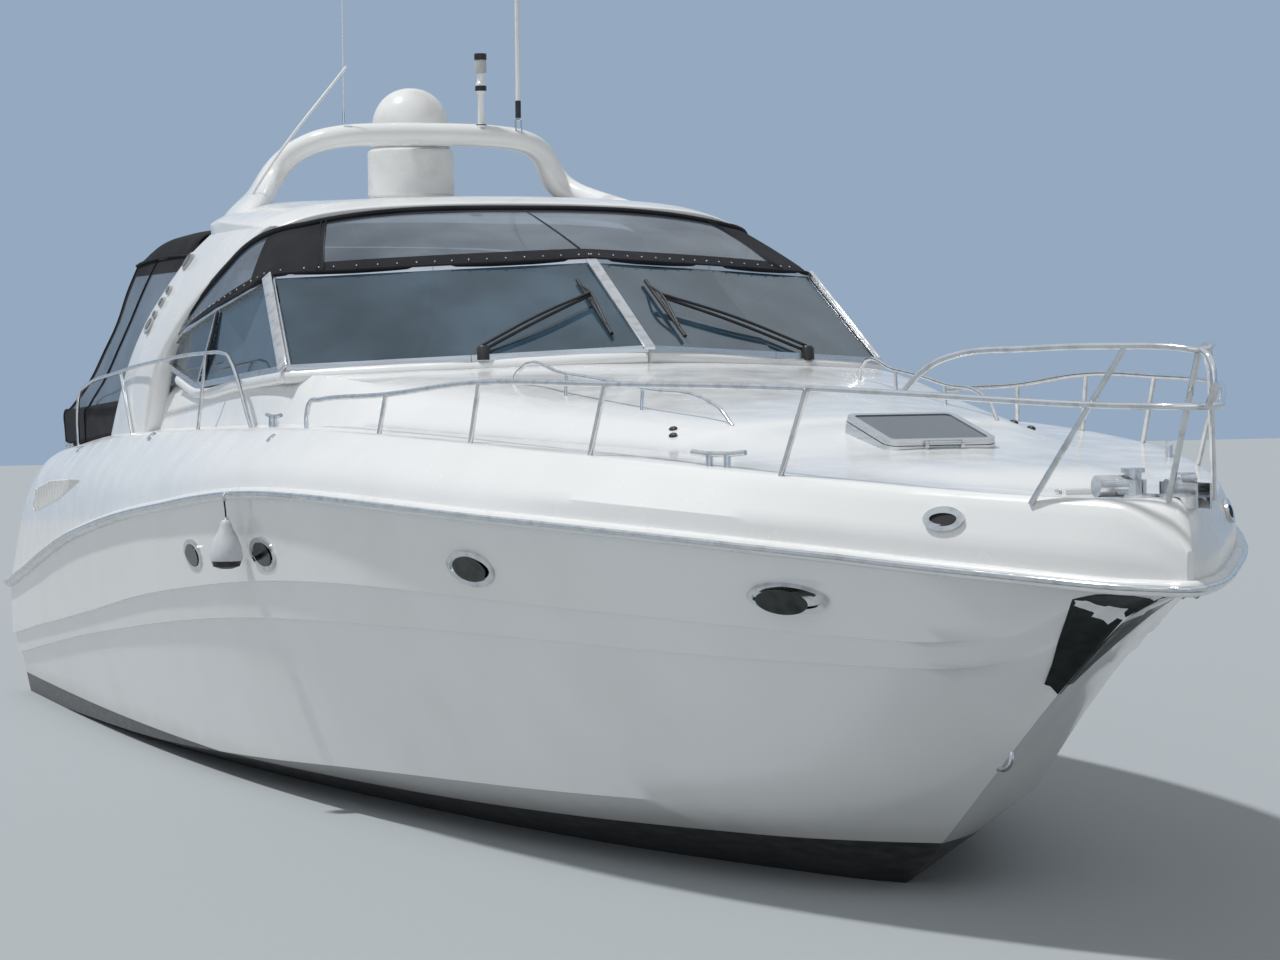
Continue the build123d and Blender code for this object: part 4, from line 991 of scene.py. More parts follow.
    def camera(self) -> None:
        """The photograph's viewing angle."""
        lens = bpy.data.cameras.new("camera")
        lens.lens = self.lens
        lens.sensor_width = self.sensor
        lens.sensor_fit = "HORIZONTAL"
        lens.clip_end = self.far
        holder = bpy.data.objects.new("camera", lens)
        bpy.context.scene.collection.objects.link(holder)
        yaw, pitch, roll = (math.radians(v) for v in (self.yaw, self.pitch, self.roll))
        ahead = Vector((math.cos(yaw) * math.cos(pitch), math.sin(yaw) * math.cos(pitch), -math.sin(pitch)))
        right = Vector((math.sin(yaw), -math.cos(yaw), 0.0))
        up = right.cross(ahead)
        across = right * math.cos(roll) + up * math.sin(roll)
        above = up * math.cos(roll) - right * math.sin(roll)
        turn = Matrix((across, above, -ahead)).transposed().to_4x4()
        holder.matrix_world = Matrix.Translation(self.eye) @ turn
        bpy.context.scene.camera = holder

    def build(self) -> None:
        """Set the whole stage."""
        self.camera()
        self.floor()
        self.light()
        bpy.context.scene.view_settings.view_transform = "Standard"


# Hull sections, millimetres: how the topsides swell, and where the stem begins
SIDE_SWELL = 0.82
STEM_FROM = 5400
STEM_JOG_PART = 6
# The gunwale's knuckle: its share of the height above the rub rail, more aft, capped at the bow
KNUCKLE_SHARE = 0.42
KNUCKLE_AFT_GAIN = 0.26
KNUCKLE_AFT_FROM = -2000
KNUCKLE_AFT_RUN = 2500
KNUCKLE_BOW_FROM = 3000
KNUCKLE_BOW_TOP = 106.0
# Moulded lines, and how far the gunwale leans out or in above the rub rail
LINE_RISE = 3
FLARE_UP_TO = 6400
FLARE = 4
TUCK_UP_TO = 4000
TUCK = 16
GUNWALE_ROUND = 30.0
GUNWALE_DROP = 22


@dataclass(frozen=True)
class Station:
    """One section of the hull and deck, in millimetres from the waterline origin."""

    x: float
    z_keel: float
    y_chine: float
    z_chine: float
    z_low: float
    z_high: float
    y_rail: float
    z_rail: float
    y_edge: float
    z_edge: float
    y_side: float
    z_side: float
    y_top: float
    z_top: float
    z_crown: float
    jog: float = 20.0

    def side_y(self, z: float) -> float:
        """Half-breadth of the hull's side at height z."""
        share = min(max((z - self.z_chine) / (self.z_rail - self.z_chine), 0.0), 1.0)
        return self.y_chine + (self.y_rail - self.y_chine) * share**SIDE_SWELL

    def step(self) -> float:
        """How far each moulded line stands out."""
        return self.jog if self.x < STEM_FROM else self.jog / STEM_JOG_PART

    def knuckle(self) -> float:
        """Height of the gunwale's knuckle.

        Returns:
            The height in millimetres.
        """
        tall = self.z_edge - self.z_rail
        aft = min(max((KNUCKLE_AFT_FROM - self.x) / KNUCKLE_AFT_RUN, 0.0), 1.0)
        rise = (KNUCKLE_SHARE + KNUCKLE_AFT_GAIN * aft) * tall
        return self.z_rail + (min(KNUCKLE_BOW_TOP, rise) if self.x > KNUCKLE_BOW_FROM else rise)

    def hull_half(self) -> List[Tuple[float, float]]:
        """The hull's half-section.

        Returns:
            Points in millimetres, keel to rub rail.
        """
        low, high, step = self.side_y(self.z_low), self.side_y(self.z_high), self.step()
        return [
            (0.0, self.z_keel),
            (self.y_chine, self.z_chine),
            (low, self.z_low),
            (low + step, self.z_low + LINE_RISE),
            (high + step, self.z_high),
            (high + 2 * step, self.z_high + LINE_RISE),
            (self.y_rail, self.z_rail),
        ]

    def deck_half(self) -> List[Tuple[float, float]]:
        """The deck's half-section.

        Returns:
            Points in millimetres, rub rail to crown.
        """
        flare = FLARE * (self.x < FLARE_UP_TO) - TUCK * (self.x < TUCK_UP_TO)
        return [
            (self.y_rail, self.z_rail),
            (self.y_rail + flare, self.knuckle()),
            (self.y_edge + min(GUNWALE_ROUND, 0.5 * (self.y_rail - self.y_edge)), self.z_edge - GUNWALE_DROP),
            (self.y_edge, self.z_edge),
            (self.y_side, self.z_side),
            (self.y_top, self.z_top),
            (0.0, self.z_crown),
        ]


STATIONS = [
    Station(-6450, -560, 1740, -30, 270, 400, 1872, 745, 1790, 830, 1700, 834, 1500, 834, 834),
    Station(-6150, -576, 1746, -25, 298, 428, 1893, 783, 1790, 1230, 1690, 1234, 1500, 1234, 1234),
    Station(-5850, -592, 1753, -19, 330, 460, 1915, 829, 1785, 1500, 1680, 1506, 1500, 1506, 1506),
    Station(-5450, -605, 1760, -8, 380, 510, 1938, 888, 1760, 1640, 1650, 1650, 1560, 1656, 1656),
    Station(-5000, -615, 1770, 5, 430, 560, 1965, 960, 1735, 1686, 1650, 1698, 1580, 1716, 1716),
    Station(-4400, -630, 1780, 20, 500, 620, 1992, 1062, 1745, 1732, 1665, 1745, 1600, 1800, 1800),
    Station(-3600, -650, 1785, 38, 590, 715, 2023, 1185, 1775, 1790, 1675, 1802, 1610, 1930, 1930),
    Station(-3000, -660, 1782, 52, 650, 780, 2038, 1260, 1790, 1812, 1678, 1824, 1612, 2080, 2080),
    Station(-2300, -662, 1770, 72, 720, 872, 2050, 1340, 1803, 1832, 1680, 1845, 1615, 2130, 2130),
    Station(-1600, -660, 1750, 100, 790, 955, 2053, 1409, 1807, 1850, 1682, 1862, 1615, 2090, 2100),
    Station(-800, -645, 1718, 142, 862, 1030, 2050, 1476, 1804, 1870, 1680, 1882, 1615, 2130, 2140),
    Station(0, -612, 1668, 185, 925, 1102, 2034, 1542, 1790, 1888, 1672, 1900, 1610, 2176, 2200),
    Station(800, -558, 1590, 236, 972, 1160, 1995, 1588, 1756, 1900, 1630, 1912, 1480, 2130, 2262),
    Station(1600, -490, 1465, 274, 1000, 1192, 1923, 1598, 1692, 1891, 1530, 1905, 1290, 2060, 2202),
    Station(2200, -415, 1335, 296, 1016, 1200, 1842, 1590, 1621, 1877, 1410, 1892, 1110, 2018, 2138),
    Station(2800, -320, 1160, 312, 1026, 1194, 1733, 1575, 1525, 1858, 1230, 1874, 920, 1984, 2072),
    Station(3400, -185, 925, 330, 1026, 1185, 1593, 1557, 1402, 1835, 1020, 1851, 730, 1954, 2006),
    Station(3700, -120, 790, 340, 1024, 1180, 1508, 1548, 1327, 1825, 930, 1841, 640, 1938, 1974),
    Station(3730, -112, 775, 341, 1024, 1180, 1499, 1547, 1319, 1824, 925, 1838, 630, 1914, 1952),
    Station(4000, -45, 640, 355, 1021, 1175, 1414, 1537, 1244, 1812, 860, 1826, 560, 1880, 1940),
    Station(4500, 275, 300, 400, 1012, 1155, 1230, 1515, 1082, 1785, 690, 1797, 400, 1812, 1824),
    Station(4900, 550, 60, 585, 1006, 1132, 1058, 1493, 931, 1763, 560, 1774, 330, 1796, 1808),
    Station(5300, 820, 35, 855, 1000, 1112, 858, 1468, 755, 1742, 430, 1742, 230, 1772, 1782),
    Station(5480, 935, 31, 965, 1055, 1140, 762, 1454, 668, 1731, 370, 1722, 190, 1712, 1710),
    Station(5650, 1040, 28, 1070, 1105, 1165, 660, 1440, 571, 1720, 320, 1712, 170, 1696, 1692),
    Station(6000, 1250, 20, 1268, 1290, 1320, 425, 1412, 336, 1700, 210, 1694, 110, 1682, 1680),
    Station(6200, 1318, 16, 1326, 1338, 1350, 282, 1395, 190, 1694, 120, 1696, 70, 1696, 1696),
    Station(6300, 1345, 12, 1352, 1360, 1368, 200, 1387, 112, 1680, 66, 1696, 34, 1702, 1704),
    Station(6390, 1359, 8, 1362, 1366, 1371, 112, 1383, 66, 1608, 46, 1640, 26, 1650, 1654),
    Station(6450, 1366, 5, 1368, 1370, 1374, 46, 1381, 32, 1552, 24, 1564, 12, 1568, 1570),
    Station(6485, 1370, 3, 1371, 1373, 1376, 14, 1381, 10, 1506, 8, 1512, 4, 1514, 1515),
]


@dataclass(frozen=True)
class Well:
    """A prism cut out of a moulding: a flat outline, taken up from its floor."""

    outline: Tuple[Tuple[float, float], ...]
    low: float
    high: float
    tilt: Optional[Matrix] = None

    @staticmethod
    def block(low: Point, high: Point) -> "Well":
        """A plain box between two corners."""
        outline = ((low[0], low[1]), (high[0], low[1]), (high[0], high[1]), (low[0], high[1]))
        return Well(outline, low[2], high[2])

    def build(self) -> bpy.types.Object:
        """Make the cutter.

        Returns:
            The cutter's own object, to be removed after the cut.
        """
        shape = bmesh.new()
        rim = [shape.verts.new((x, y, self.low)) for x, y in self.outline]
        made = bmesh.ops.extrude_face_region(shape, geom=[shape.faces.new(rim)])
        top = [part for part in made["geom"] if isinstance(part, bmesh.types.BMVert)]
        bmesh.ops.translate(shape, verts=top, vec=(0.0, 0.0, self.high - self.low))
        if self.tilt:
            bmesh.ops.transform(shape, matrix=self.tilt, verts=shape.verts)
        return cutter("well", shape)


def section_at(x: float) -> Station:
    """The hull's section between two stations.

    Args:
        x: Its place in millimetres, from the first station to the last.

    Returns:
        The section, its values shared out between the two stations around it.
    """
    near = next(i for i in range(len(STATIONS) - 1) if STATIONS[i].x <= x <= STATIONS[i + 1].x)
    low, high = STATIONS[near], STATIONS[near + 1]
    share = (x - low.x) / (high.x - low.x)
    values = {}
    for key in low.__dataclass_fields__:
        values[key] = getattr(low, key) + (getattr(high, key) - getattr(low, key)) * share
    return Station(**values)


@dataclass(frozen=True)
class Scoop:
    """The shell-shaped recess of an air intake in the gunwale's flank."""

    side: int
    deep: float = 0.080
    reach: Tuple[Tuple[float, float, float], ...] = (
        (-5300, 0.76, 0.86),
        (-5200, 0.69, 0.94),
        (-4900, 0.66, 0.970),
        (-4500, 0.655, 0.975),
        (-4100, 0.69, 0.975),
        (-3800, 0.77, 0.970),
        (-3550, 0.87, 0.965),
        (-3440, 0.935, 0.955),
    )
    proud: float = 0.03
    fin_count: int = 11
    fin_aft: float = -5180
    fin_pitch: float = 118
    fin_lean: float = 46
    fin_thick: float = 0.010
    fin_deep: float = 0.044

    def spot(self, x: float, share: float, out: float) -> Vector:
        """A point of the gunwale's flank.

        Args:
            x: Its place along the boat, in millimetres.
            share: Its height, 0 at the rub rail and 1 at the knuckle.
            out: How far it stands out from the flank, in metres.

        Returns:
            The point in metres.
        """
        row = section_at(x)
        y = row.y_rail - 12.0 * share
        z = row.z_rail + (row.knuckle() - row.z_rail) * share
        return Vector((x / 1000, self.side * (y / 1000 + out), z / 1000))

    def build(self) -> bpy.types.Object:
        """Make the cutter.

        Returns:
            The cutter's own object, to be removed after the cut.
        """
        shape = bmesh.new()
        bmesh.ops.create_grid(shape, x_segments=4, y_segments=len(self.reach) - 1, size=1.0)
        for count, vert in enumerate(sorted(shape.verts, key=grid_place)):
            row, column = divmod(count, 5)
            x, low, high = self.reach[row]
            vert.co = self.spot(x, low + (high - low) * column / 4, self.proud)
        made = bmesh.ops.extrude_face_region(shape, geom=shape.faces[:])
        sunk = [part for part in made["geom"] if isinstance(part, bmesh.types.BMVert)]
        bmesh.ops.translate(shape, verts=sunk, vec=(0.0, -self.side * (self.proud + self.deep), 0.0))
        return cutter("scoop", shape)

    def fins(self, shop: Workshop, word: str) -> bpy.types.Object:
        """The upright louvres that stand in the recess.

        Args:
            shop: The workshop that finishes them.
            word: The side's name.

        Returns:
            The louvres' object.
        """
        shape = bmesh.new()
        for step in range(self.fin_count):
            x = self.fin_aft + self.fin_pitch * step
            aft, fore = next((a, b) for a, b in zip(self.reach, self.reach[1:]) if a[0] <= x <= b[0])
            low = aft[1] + (fore[1] - aft[1]) * (x - aft[0]) / (fore[0] - aft[0])
            foot = self.spot(x, low - 0.01, -self.proud)
            head = self.spot(x + self.fin_lean, 0.975, -self.proud)
            made = bmesh.ops.create_cube(shape, size=1.0)
            along = head - foot
            side = Vector((0.0, self.side * 1.0, 0.0))
            across = along.cross(side).normalized()
            axes = (across * self.fin_thick, side * self.fin_deep, along)
            posed(shape, made["verts"], axes, (foot + head) / 2)
        return shop.shaped("intake_fins_" + word, shape, "gelcoat", sharp=0.8)


@dataclass
class Shell:
    """The hull or deck moulding, lofted smooth through the stations and cut to its wells."""

    shop: Workshop
    node: str
    halves: List[List[Tuple[float, float]]]
    creases: Tuple[float, ...]
    wells: List[Union[Well, Scoop]]
    sharp: float = 0.50
    fading: bool = False
    soft_aft_of: float = 2.4

    def ring(self, station: Station, half: List[Tuple[float, float]]) -> List[Point]:
        """A closed section in metres, starboard side first."""
        other = [(-y, z) for y, z in reversed(half) if y]
        return [(station.x / 1000, -y / 1000, z / 1000) for y, z in half + other]

    def loft(self) -> bmesh.types.BMesh:
        """Bridge the sections into one closed skin and crease its moulded lines.

        Returns:
            The skin, before it is smoothed.
        """
        shape = bmesh.new()
        crease = shape.edges.layers.float.new("crease_edge")
        loops: List[Tuple[List[bmesh.types.BMVert], List[bmesh.types.BMEdge]]] = []
        for station, half in zip(STATIONS, self.halves):
            verts = [shape.verts.new(point) for point in self.ring(station, half)]
            edges = [shape.edges.new(pair) for pair in zip(verts, verts[1:] + verts[:1])]
            loops.append((verts, edges))
        mirrored = reversed(list(zip(self.creases, self.halves[0])))
        weights = list(self.creases) + [weight for weight, (y, _) in mirrored if y]
        for (near, near_edges), (far, far_edges) in zip(loops, loops[1:]):
            bmesh.ops.bridge_loops(shape, edges=near_edges + far_edges)
            fade = min(max((near[0].co.x - self.soft_aft_of) / 1.5, 0.15), 1.0)
            for step, (start, end, weight) in enumerate(zip(near, far, weights)):
                edge = shape.edges.get((start, end))
                if edge:
                    edge[crease] = weight * fade if self.fading and step in (1, len(near) - 2) else weight
        for verts, edges in (loops[0], loops[-1]):
            shape.faces.new(verts)
            for edge in edges:
                edge[crease] = 1.0
        bmesh.ops.recalc_face_normals(shape, faces=shape.faces)
        return shape

    def build(self) -> bpy.types.Object:
        """Make the piece that stands for the solid.

        Returns:
            The finished piece.
        """
        mesh = meshed(self.node + "_moulding", self.loft())
        piece = self.shop.place(self.node + "_moulding", mesh, self.shop.slots[self.node])
        smooth = piece.modifiers.new("fair", "SUBSURF")
        smooth.levels = smooth.render_levels = 2
        smooth.boundary_smooth = "PRESERVE_CORNERS"
        cutters = [well.build() for well in self.wells]
        for block in cutters:
            cut = piece.modifiers.new("well", "BOOLEAN")
            cut.object = block
            cut.operation = "DIFFERENCE"
            cut.solver = "EXACT"
        bpy.context.view_layer.update()
        graph = bpy.context.evaluated_depsgraph_get()
        baked = bpy.data.meshes.new_from_object(piece.evaluated_get(graph))
        piece.modifiers.clear()
        shape = bmesh.new()
        shape.from_mesh(baked)
        bmesh.ops.remove_doubles(shape, verts=shape.verts, dist=2e-5)
        Workshop.soften(shape, self.sharp)
        shape.to_mesh(piece.data)
        shape.free()
        bpy.data.meshes.remove(baked)
        for block in cutters:
            bpy.data.objects.remove(block)
        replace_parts(piece, self.node)
        return piece


@dataclass
class Mouldings:
    """Hull and deck shells, and the smaller mouldings as skins of their solids."""

    shop: Workshop
    cockpit: Tuple[Tuple[float, float], ...] = (
        (-5.15, -1.42), (-0.06, -1.42), (0.42, -0.90), (0.60, 0.0), (0.42, 0.90), (-0.06, 1.42),
        (-5.15, 1.42),
    )
    skins: Dict[str, Tuple[float, float]] = field(
        default_factory=lambda: {
            "swim_platform": (0.50, 0.006),
            "helm_console": (0.45, 0.010),
            "anchor_locker_lid": (0.45, 0.003),
            "transom_door": (0.45, 0.004),
        }
    )
    hatch_run: Point = (0.400, 0.0, -0.095)
    hatch_spot: Point = (4.020, 0.0, 1.941)
    hatch_size: Tuple[float, float] = (0.411, 0.255)
    hatch_corner: float = 0.06
    hatch_play: float = 0.03
    hull_creases: Tuple[float, ...] = (1.0, 1.0, 1.0, 1.0, 1.0, 1.0, 1.0)
    deck_creases: Tuple[float, ...] = (1.0, 0.55, 0.60, 0.60, 0.80, 0.55, 0.0)

    def hatch_well(self) -> Well:
        """The opening under the foredeck hatch.

        Returns:
            The well, square to the hatch's tilted plane.
        """
        along = Vector(self.hatch_run).normalized()
        axes = (along, Vector((0.0, 1.0, 0.0)), Vector((-along.z, 0.0, along.x)))
        tilt = Matrix(axes).transposed().to_4x4()
        tilt.translation = self.hatch_spot
        corner = self.hatch_corner
        fore = self.hatch_size[0] + self.hatch_play - corner
        aft = -self.hatch_play + corner
        half = self.hatch_size[1] - corner
        outline = []
        for x, y, turn in ((fore, -half, -90), (fore, half, 0), (aft, half, 90), (aft, -half, 180)):
            for step in range(5):
                angle = math.radians(turn + 22.5 * step)
                outline.append((x + corner * math.cos(angle), y + corner * math.sin(angle)))
        return Well(tuple(outline), -0.12, 0.14, tilt)

    def build(self) -> None:
        """Make the shells, then skin each small moulding."""
        cockpit = Well(self.cockpit, 0.78, 2.98)
        gangway = Well.block((-6.0, 0.72, 0.779), (-5.0, 1.30, 2.38))
        platform = Well.block((-7.5, -1.54, 0.645), (-5.5, 1.54, 2.645))
        companionway = Well.block((0.3, 0.31, 0.82), (1.4, 0.93, 2.0))
        bay = Well.block((-5.0, -1.24, -0.06), (-2.7, 1.24, 0.82))
        locker = Well.block((5.64, -0.105, 1.54), (5.89, 0.105, 2.0))
        scoops = [Scoop(side) for _, side in SIDES]
        shared = [cockpit, gangway, platform, companionway]
        below = [row.hull_half() for row in STATIONS]
        above = [row.deck_half() for row in STATIONS]
        Shell(self.shop, "hull", below, self.hull_creases, shared + [bay]).build()
        deck_wells = shared + [self.hatch_well(), locker] + scoops
        Shell(self.shop, "deck", above, self.deck_creases, deck_wells, fading=True).build()
        fins = [scoop.fins(self.shop, word) for scoop, (word, _) in zip(scoops, SIDES)]
        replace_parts(fins[0], "air_intakes")
        for node, (sharp, round_off) in self.skins.items():
            self.shop.polished(node, sharp, round_off)


@dataclass
class Superstructure:
    """The arch, its hoop, the dome, the light mast and the aerials."""

    shop: Workshop
    legs: Tuple[Tuple[float, ...], ...] = (
        (1.78, -2.66, -3.60, 1.772, 0.150),
        (1.83, -2.65, -3.56, 1.770, 0.150),
        (2.13, -2.56, -3.33, 1.745, 0.140),
        (2.30, -2.35, -3.18, 1.715, 0.130),
        (2.48, -2.08, -3.03, 1.665, 0.120),
        (2.64, -1.76, -2.86, 1.600, 0.120),
        (2.84, -1.33, -2.67, 1.500, 0.130),
        (2.96, -1.13, -2.52, 1.400, 0.170),
    )
    roof: Tuple[Tuple[float, ...], ...] = (
        (-1.40, 2.925, -2.47, -1.14),
        (-1.18, 3.040, -2.72, -1.03),
        (-0.60, 3.080, -3.10, -0.99),
        (0.0, 3.090, -3.38, -0.98),
        (0.60, 3.080, -3.10, -0.99),
        (1.18, 3.040, -2.72, -1.03),
        (1.40, 2.925, -2.47, -1.14),
    )
    hoop: Tuple[Tuple[float, ...], ...] = (
        (-2.400, 1.345, 2.950, 0.300, 0.030),
        (-2.400, 1.230, 3.078, 0.340, 0.060),
        (-2.720, 1.045, 3.165, 0.290, 0.070),
        (-3.010, 0.925, 3.265, 0.195, 0.072),
        (-3.000, 0.858, 3.380, 0.138, 0.070),
        (-2.880, 0.785, 3.468, 0.120, 0.068),
        (-2.775, 0.650, 3.540, 0.114, 0.068),
        (-2.740, 0.420, 3.568, 0.112, 0.068),
    )
    hoop_middle: Tuple[float, ...] = (-2.748, 0.0, 3.574, 0.112, 0.068)
    hoop_ring: Profile = ((-1.0, 0.0), (-0.62, -0.92), (0.62, -0.92), (1.0, 0.0), (0.62, 0.92), (-0.62, 0.92))
    hoop_fullness: float = 1.13
    cheek_size: Point = (0.018, 0.008, 0.122)
    cheeks: Tuple[Point, ...] = ((-2.69, 0.542, 3.60), (-2.69, 0.578, 3.60))
    hinge_pin: Tuple[Point, ...] = ((-2.69, 0.536, 3.66), (-2.69, 0.584, 3.66))
    barrel: Tuple[Point, ...] = ((-2.69, 0.549, 3.66), (-2.69, 0.571, 3.66))
    dome_spot: Point = (-3.08, 0.0, 0.0)
    dome_base: Profile = (
        (0.0, 3.135), (0.250, 3.135), (0.258, 3.15), (0.258, 3.19), (0.252, 3.20), (0.252, 3.215),
        (0.262, 3.225),
        (0.262, 3.475), (0.256, 3.49), (0.238, 3.50), (0.236, 3.512), (0.236, 3.512), (0.240, 3.516),
        (0.238, 3.560),
    )
    dome_crown: Tuple[float, float, float] = (0.234, 3.626, 0.244)
    dome_steps: int = 12
    dome_seam: Profile = ((0.0, 3.503), (0.2395, 3.503), (0.2395, 3.511), (0.0, 3.511))
    mast_spot: Point = (-2.69, 0.326, -0.055)
    mast_stem: Profile = (
        (0.0, 3.665), (0.034, 3.665), (0.034, 3.675), (0.020, 3.69), (0.018, 3.86), (0.030, 3.88),
        (0.030, 3.93),
        (0.022, 3.94), (0.022, 3.99), (0.0, 3.99),
    )
    mast_lens: Profile = (
        (0.0, 3.99), (0.034, 3.99), (0.036, 4.01), (0.036, 4.055), (0.034, 4.070), (0.0, 4.070)
    )
    mast_collars: Tuple[Tuple[str, float, float, float], ...] = (
        ("collar_low", 3.665, 3.685, 0.031),
        ("collar_mid", 3.885, 3.915, 0.034),
        ("lamp_cap", 4.070, 4.108, 0.037),
    )
    whip_stbd: Tuple[Point, ...] = ((-2.575, -1.257, 2.97), (-2.520, -1.014, 3.37), (-2.600, -0.531, 3.953))
    ferrule_stbd: Tuple[Point, ...] = ((-2.575, -1.257, 2.97), (-2.562, -1.200, 3.064))
    whip_port: Tuple[float, float] = (-2.69, 0.56)
    wire_aerial: Tuple[float, float] = (-2.70, -0.523)

    def loft(
        self, name: str, rings: List[List[Point]], slot: str, crease: float, caps: float, level: int = 3
    ) -> bpy.types.Object:
        """Bridge closed rings into one skin and finish it with a subdivision surface.

        Args:
            name: The piece's name.
            rings: Closed sections, each a list of points in the same order.
            slot: The record's slot.
            crease: How sharp the edges along the run stay.
            caps: How sharp the end rings stay.
            level: Subdivision level.

        Returns:
            The skin's object.
        """
        shape = bmesh.new()
        layer = shape.edges.layers.float.new("crease_edge")
        loops = []
        for ring in rings:
            verts = [shape.verts.new(point) for point in ring]
            loops.append((verts, [shape.edges.new(pair) for pair in zip(verts, verts[1:] + verts[:1])]))
        for (near, near_edges), (far, far_edges) in zip(loops, loops[1:]):
            bmesh.ops.bridge_loops(shape, edges=near_edges + far_edges)
            for pair in zip(near, far):
                edge = shape.edges.get(pair)
                if edge:
                    edge[layer] = crease
        for verts, edges in (loops[0], loops[-1]):
            shape.faces.new(verts)
            for edge in edges:
                edge[layer] = caps
        piece = self.shop.shaped(name, shape, slot, sharp=3.2)
        smooth = piece.modifiers.new("fair", "SUBSURF")
        smooth.levels = smooth.render_levels = level
        return piece

    def arch(self) -> None:
        """Two swept legs and the hardtop across them, soft-edged."""
        for word, side in SIDES:
            rings = []
            for z, fore, aft, out, wall in self.legs:
                outer, inner = side * out, side * (out - wall)
                bulge = ((aft + fore) / 2, outer * 1.008, z)
                rings.append([(aft, outer, z), bulge, (fore, outer, z), (fore, inner, z), (aft, inner, z)])
            self.loft("arch_leg_" + word, rings, "gelcoat", 0.42, 1.0)
        rings = []
        for y, z, aft, fore in self.roof:
            under = [(aft, y, z + 0.02), (fore, y, z - 0.04)]
            over = [(fore, y, z), (fore - 0.30, y, z + 0.05), (aft + 0.20, y, z + 0.105), (aft, y, z + 0.095)]
            rings.append(under + over)
        top = self.loft("hardtop", rings, "gelcoat", 0.45, 0.7)
        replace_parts(top, "arch")

    def hoop_tube(self) -> None:
        """The flattened hoop over the hardtop."""
        port = [(Vector((x, y, z)), wide, thick) for x, y, z, wide, thick in self.hoop]
        x, y, z, wide, thick = self.hoop_middle
        middle = [(Vector((x, y, z)), wide, thick)]
        stbd = [(Vector((v.x, -v.y, v.z)), wide, thick) for v, wide, thick in port]
        line = stbd + middle + list(reversed(port))
        rings = []
        for i, (spot, wide, thick) in enumerate(line):
            before, after = line[max(i - 1, 0)][0], line[min(i + 1, len(line) - 1)][0]
            across = (after - before).normalized().cross(Vector((1.0, 0.0, 0.0))).normalized()
            ring = []
            for a, b in self.hoop_ring:
                away = across * (b * thick * self.hoop_fullness)
                ring.append(tuple(spot + Vector((a * wide, 0.0, 0.0)) + away))
            rings.append(ring)
        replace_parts(self.loft("hoop", rings, "gelcoat", 0.0, 0.8), "arch_hoop")
        cheeks = bmesh.new()
        for spot in self.cheeks:
            made = bmesh.ops.create_cube(cheeks, size=1.0)
            fit = Matrix.Translation(spot) @ Matrix.Diagonal((*self.cheek_size, 1.0))
            bmesh.ops.transform(cheeks, matrix=fit, verts=made["verts"])
        self.shop.shaped("whip_hinge_cheeks", cheeks, "stainless")
        self.shop.tube("whip_hinge_pin", [self.hinge_pin], 0.004, "stainless", lay=Lay.STRAIGHT)

    def dome(self) -> None:
        """The satellite dome: a stepped base, a seam band and a domed cap."""
        profile = list(self.dome_base)
        wide, foot, tall = self.dome_crown
        for step in range(1, self.dome_steps + 1):
            angle = math.radians(90 / self.dome_steps * step)
            reach = wide * math.cos(angle) ** 0.92 if step < self.dome_steps else 0.0
            profile.append((reach, foot + tall * math.sin(angle)))
        dome = self.shop.turned("dome", profile, self.dome_spot, "white_plastic", sharp=0.5, steps=64)
        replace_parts(dome, "satellite_dome")
        self.shop.turned("dome_seam", self.dome_seam, self.dome_spot, "black_plastic", finish="lamp_lens")

    def mast(self) -> None:
        """The light mast: a pale stem with black collars, the lamp's lens and its cap."""
        stem = self.shop.turned("light_mast_stem", self.mast_stem, self.mast_spot, "white_plastic")
        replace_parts(stem, "light_mast")
        for name, low, high, wide in self.mast_collars:
            ring = [(0.0, low), (wide, low), (wide, high), (wide * 0.7, high + 0.002), (0.0, high + 0.002)]
            self.shop.turned("light_mast_" + name, ring, self.mast_spot, "black_plastic")
        self.shop.turned(
            "light_mast_lens", self.mast_lens, self.mast_spot, "white_plastic", finish="lamp_lens"
        )

    def aerials(self) -> None:
        """The starboard whip on its base, the port whip on its fold, and the thin one aft."""
        stbd = self.shop.tube("whip_stbd", [self.whip_stbd], 0.009, "white_plastic")
        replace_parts(stbd, "antenna_stbd")
        self.shop.tube("whip_stbd_ferrule", [self.ferrule_stbd], 0.016, "stainless", lay=Lay.STRAIGHT)
        x, y = self.whip_port
        line = [(x, y, z) for z in (3.668, 4.40, 5.195)]
        whip = self.shop.tube("whip_port", [line], 0.0085, "white_plastic", "antenna_port")
        for name, low, high, radius, slot in (
            ("whip_port_ferrule", 3.672, 3.775, 0.017, "black_plastic"),
            ("whip_port_butt", 3.775, 4.62, 0.0135, "white_plastic"),
        ):
            self.shop.tube(name, [[(x, y, low), (x, y, high)]], radius, slot, "antenna_port", Lay.STRAIGHT)
        x, y = self.wire_aerial
        for name, high, radius, slot in (
            ("wire_aerial", 4.98, 0.003, "white_plastic"),
            ("wire_aerial_foot", 3.70, 0.010, "stainless"),
        ):
            self.shop.tube(name, [[(x, y, 3.63), (x, y, high)]], radius, slot, lay=Lay.STRAIGHT)
        self.shop.tube("whip_port_barrel", [self.barrel], 0.009, "stainless", "antenna_port", Lay.STRAIGHT)
        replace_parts(whip, "antenna_port")

    def build(self) -> None:
        """Make everything above the roof line."""
        self.arch()
        self.hoop_tube()
        self.dome()
        self.mast()
        self.aerials()


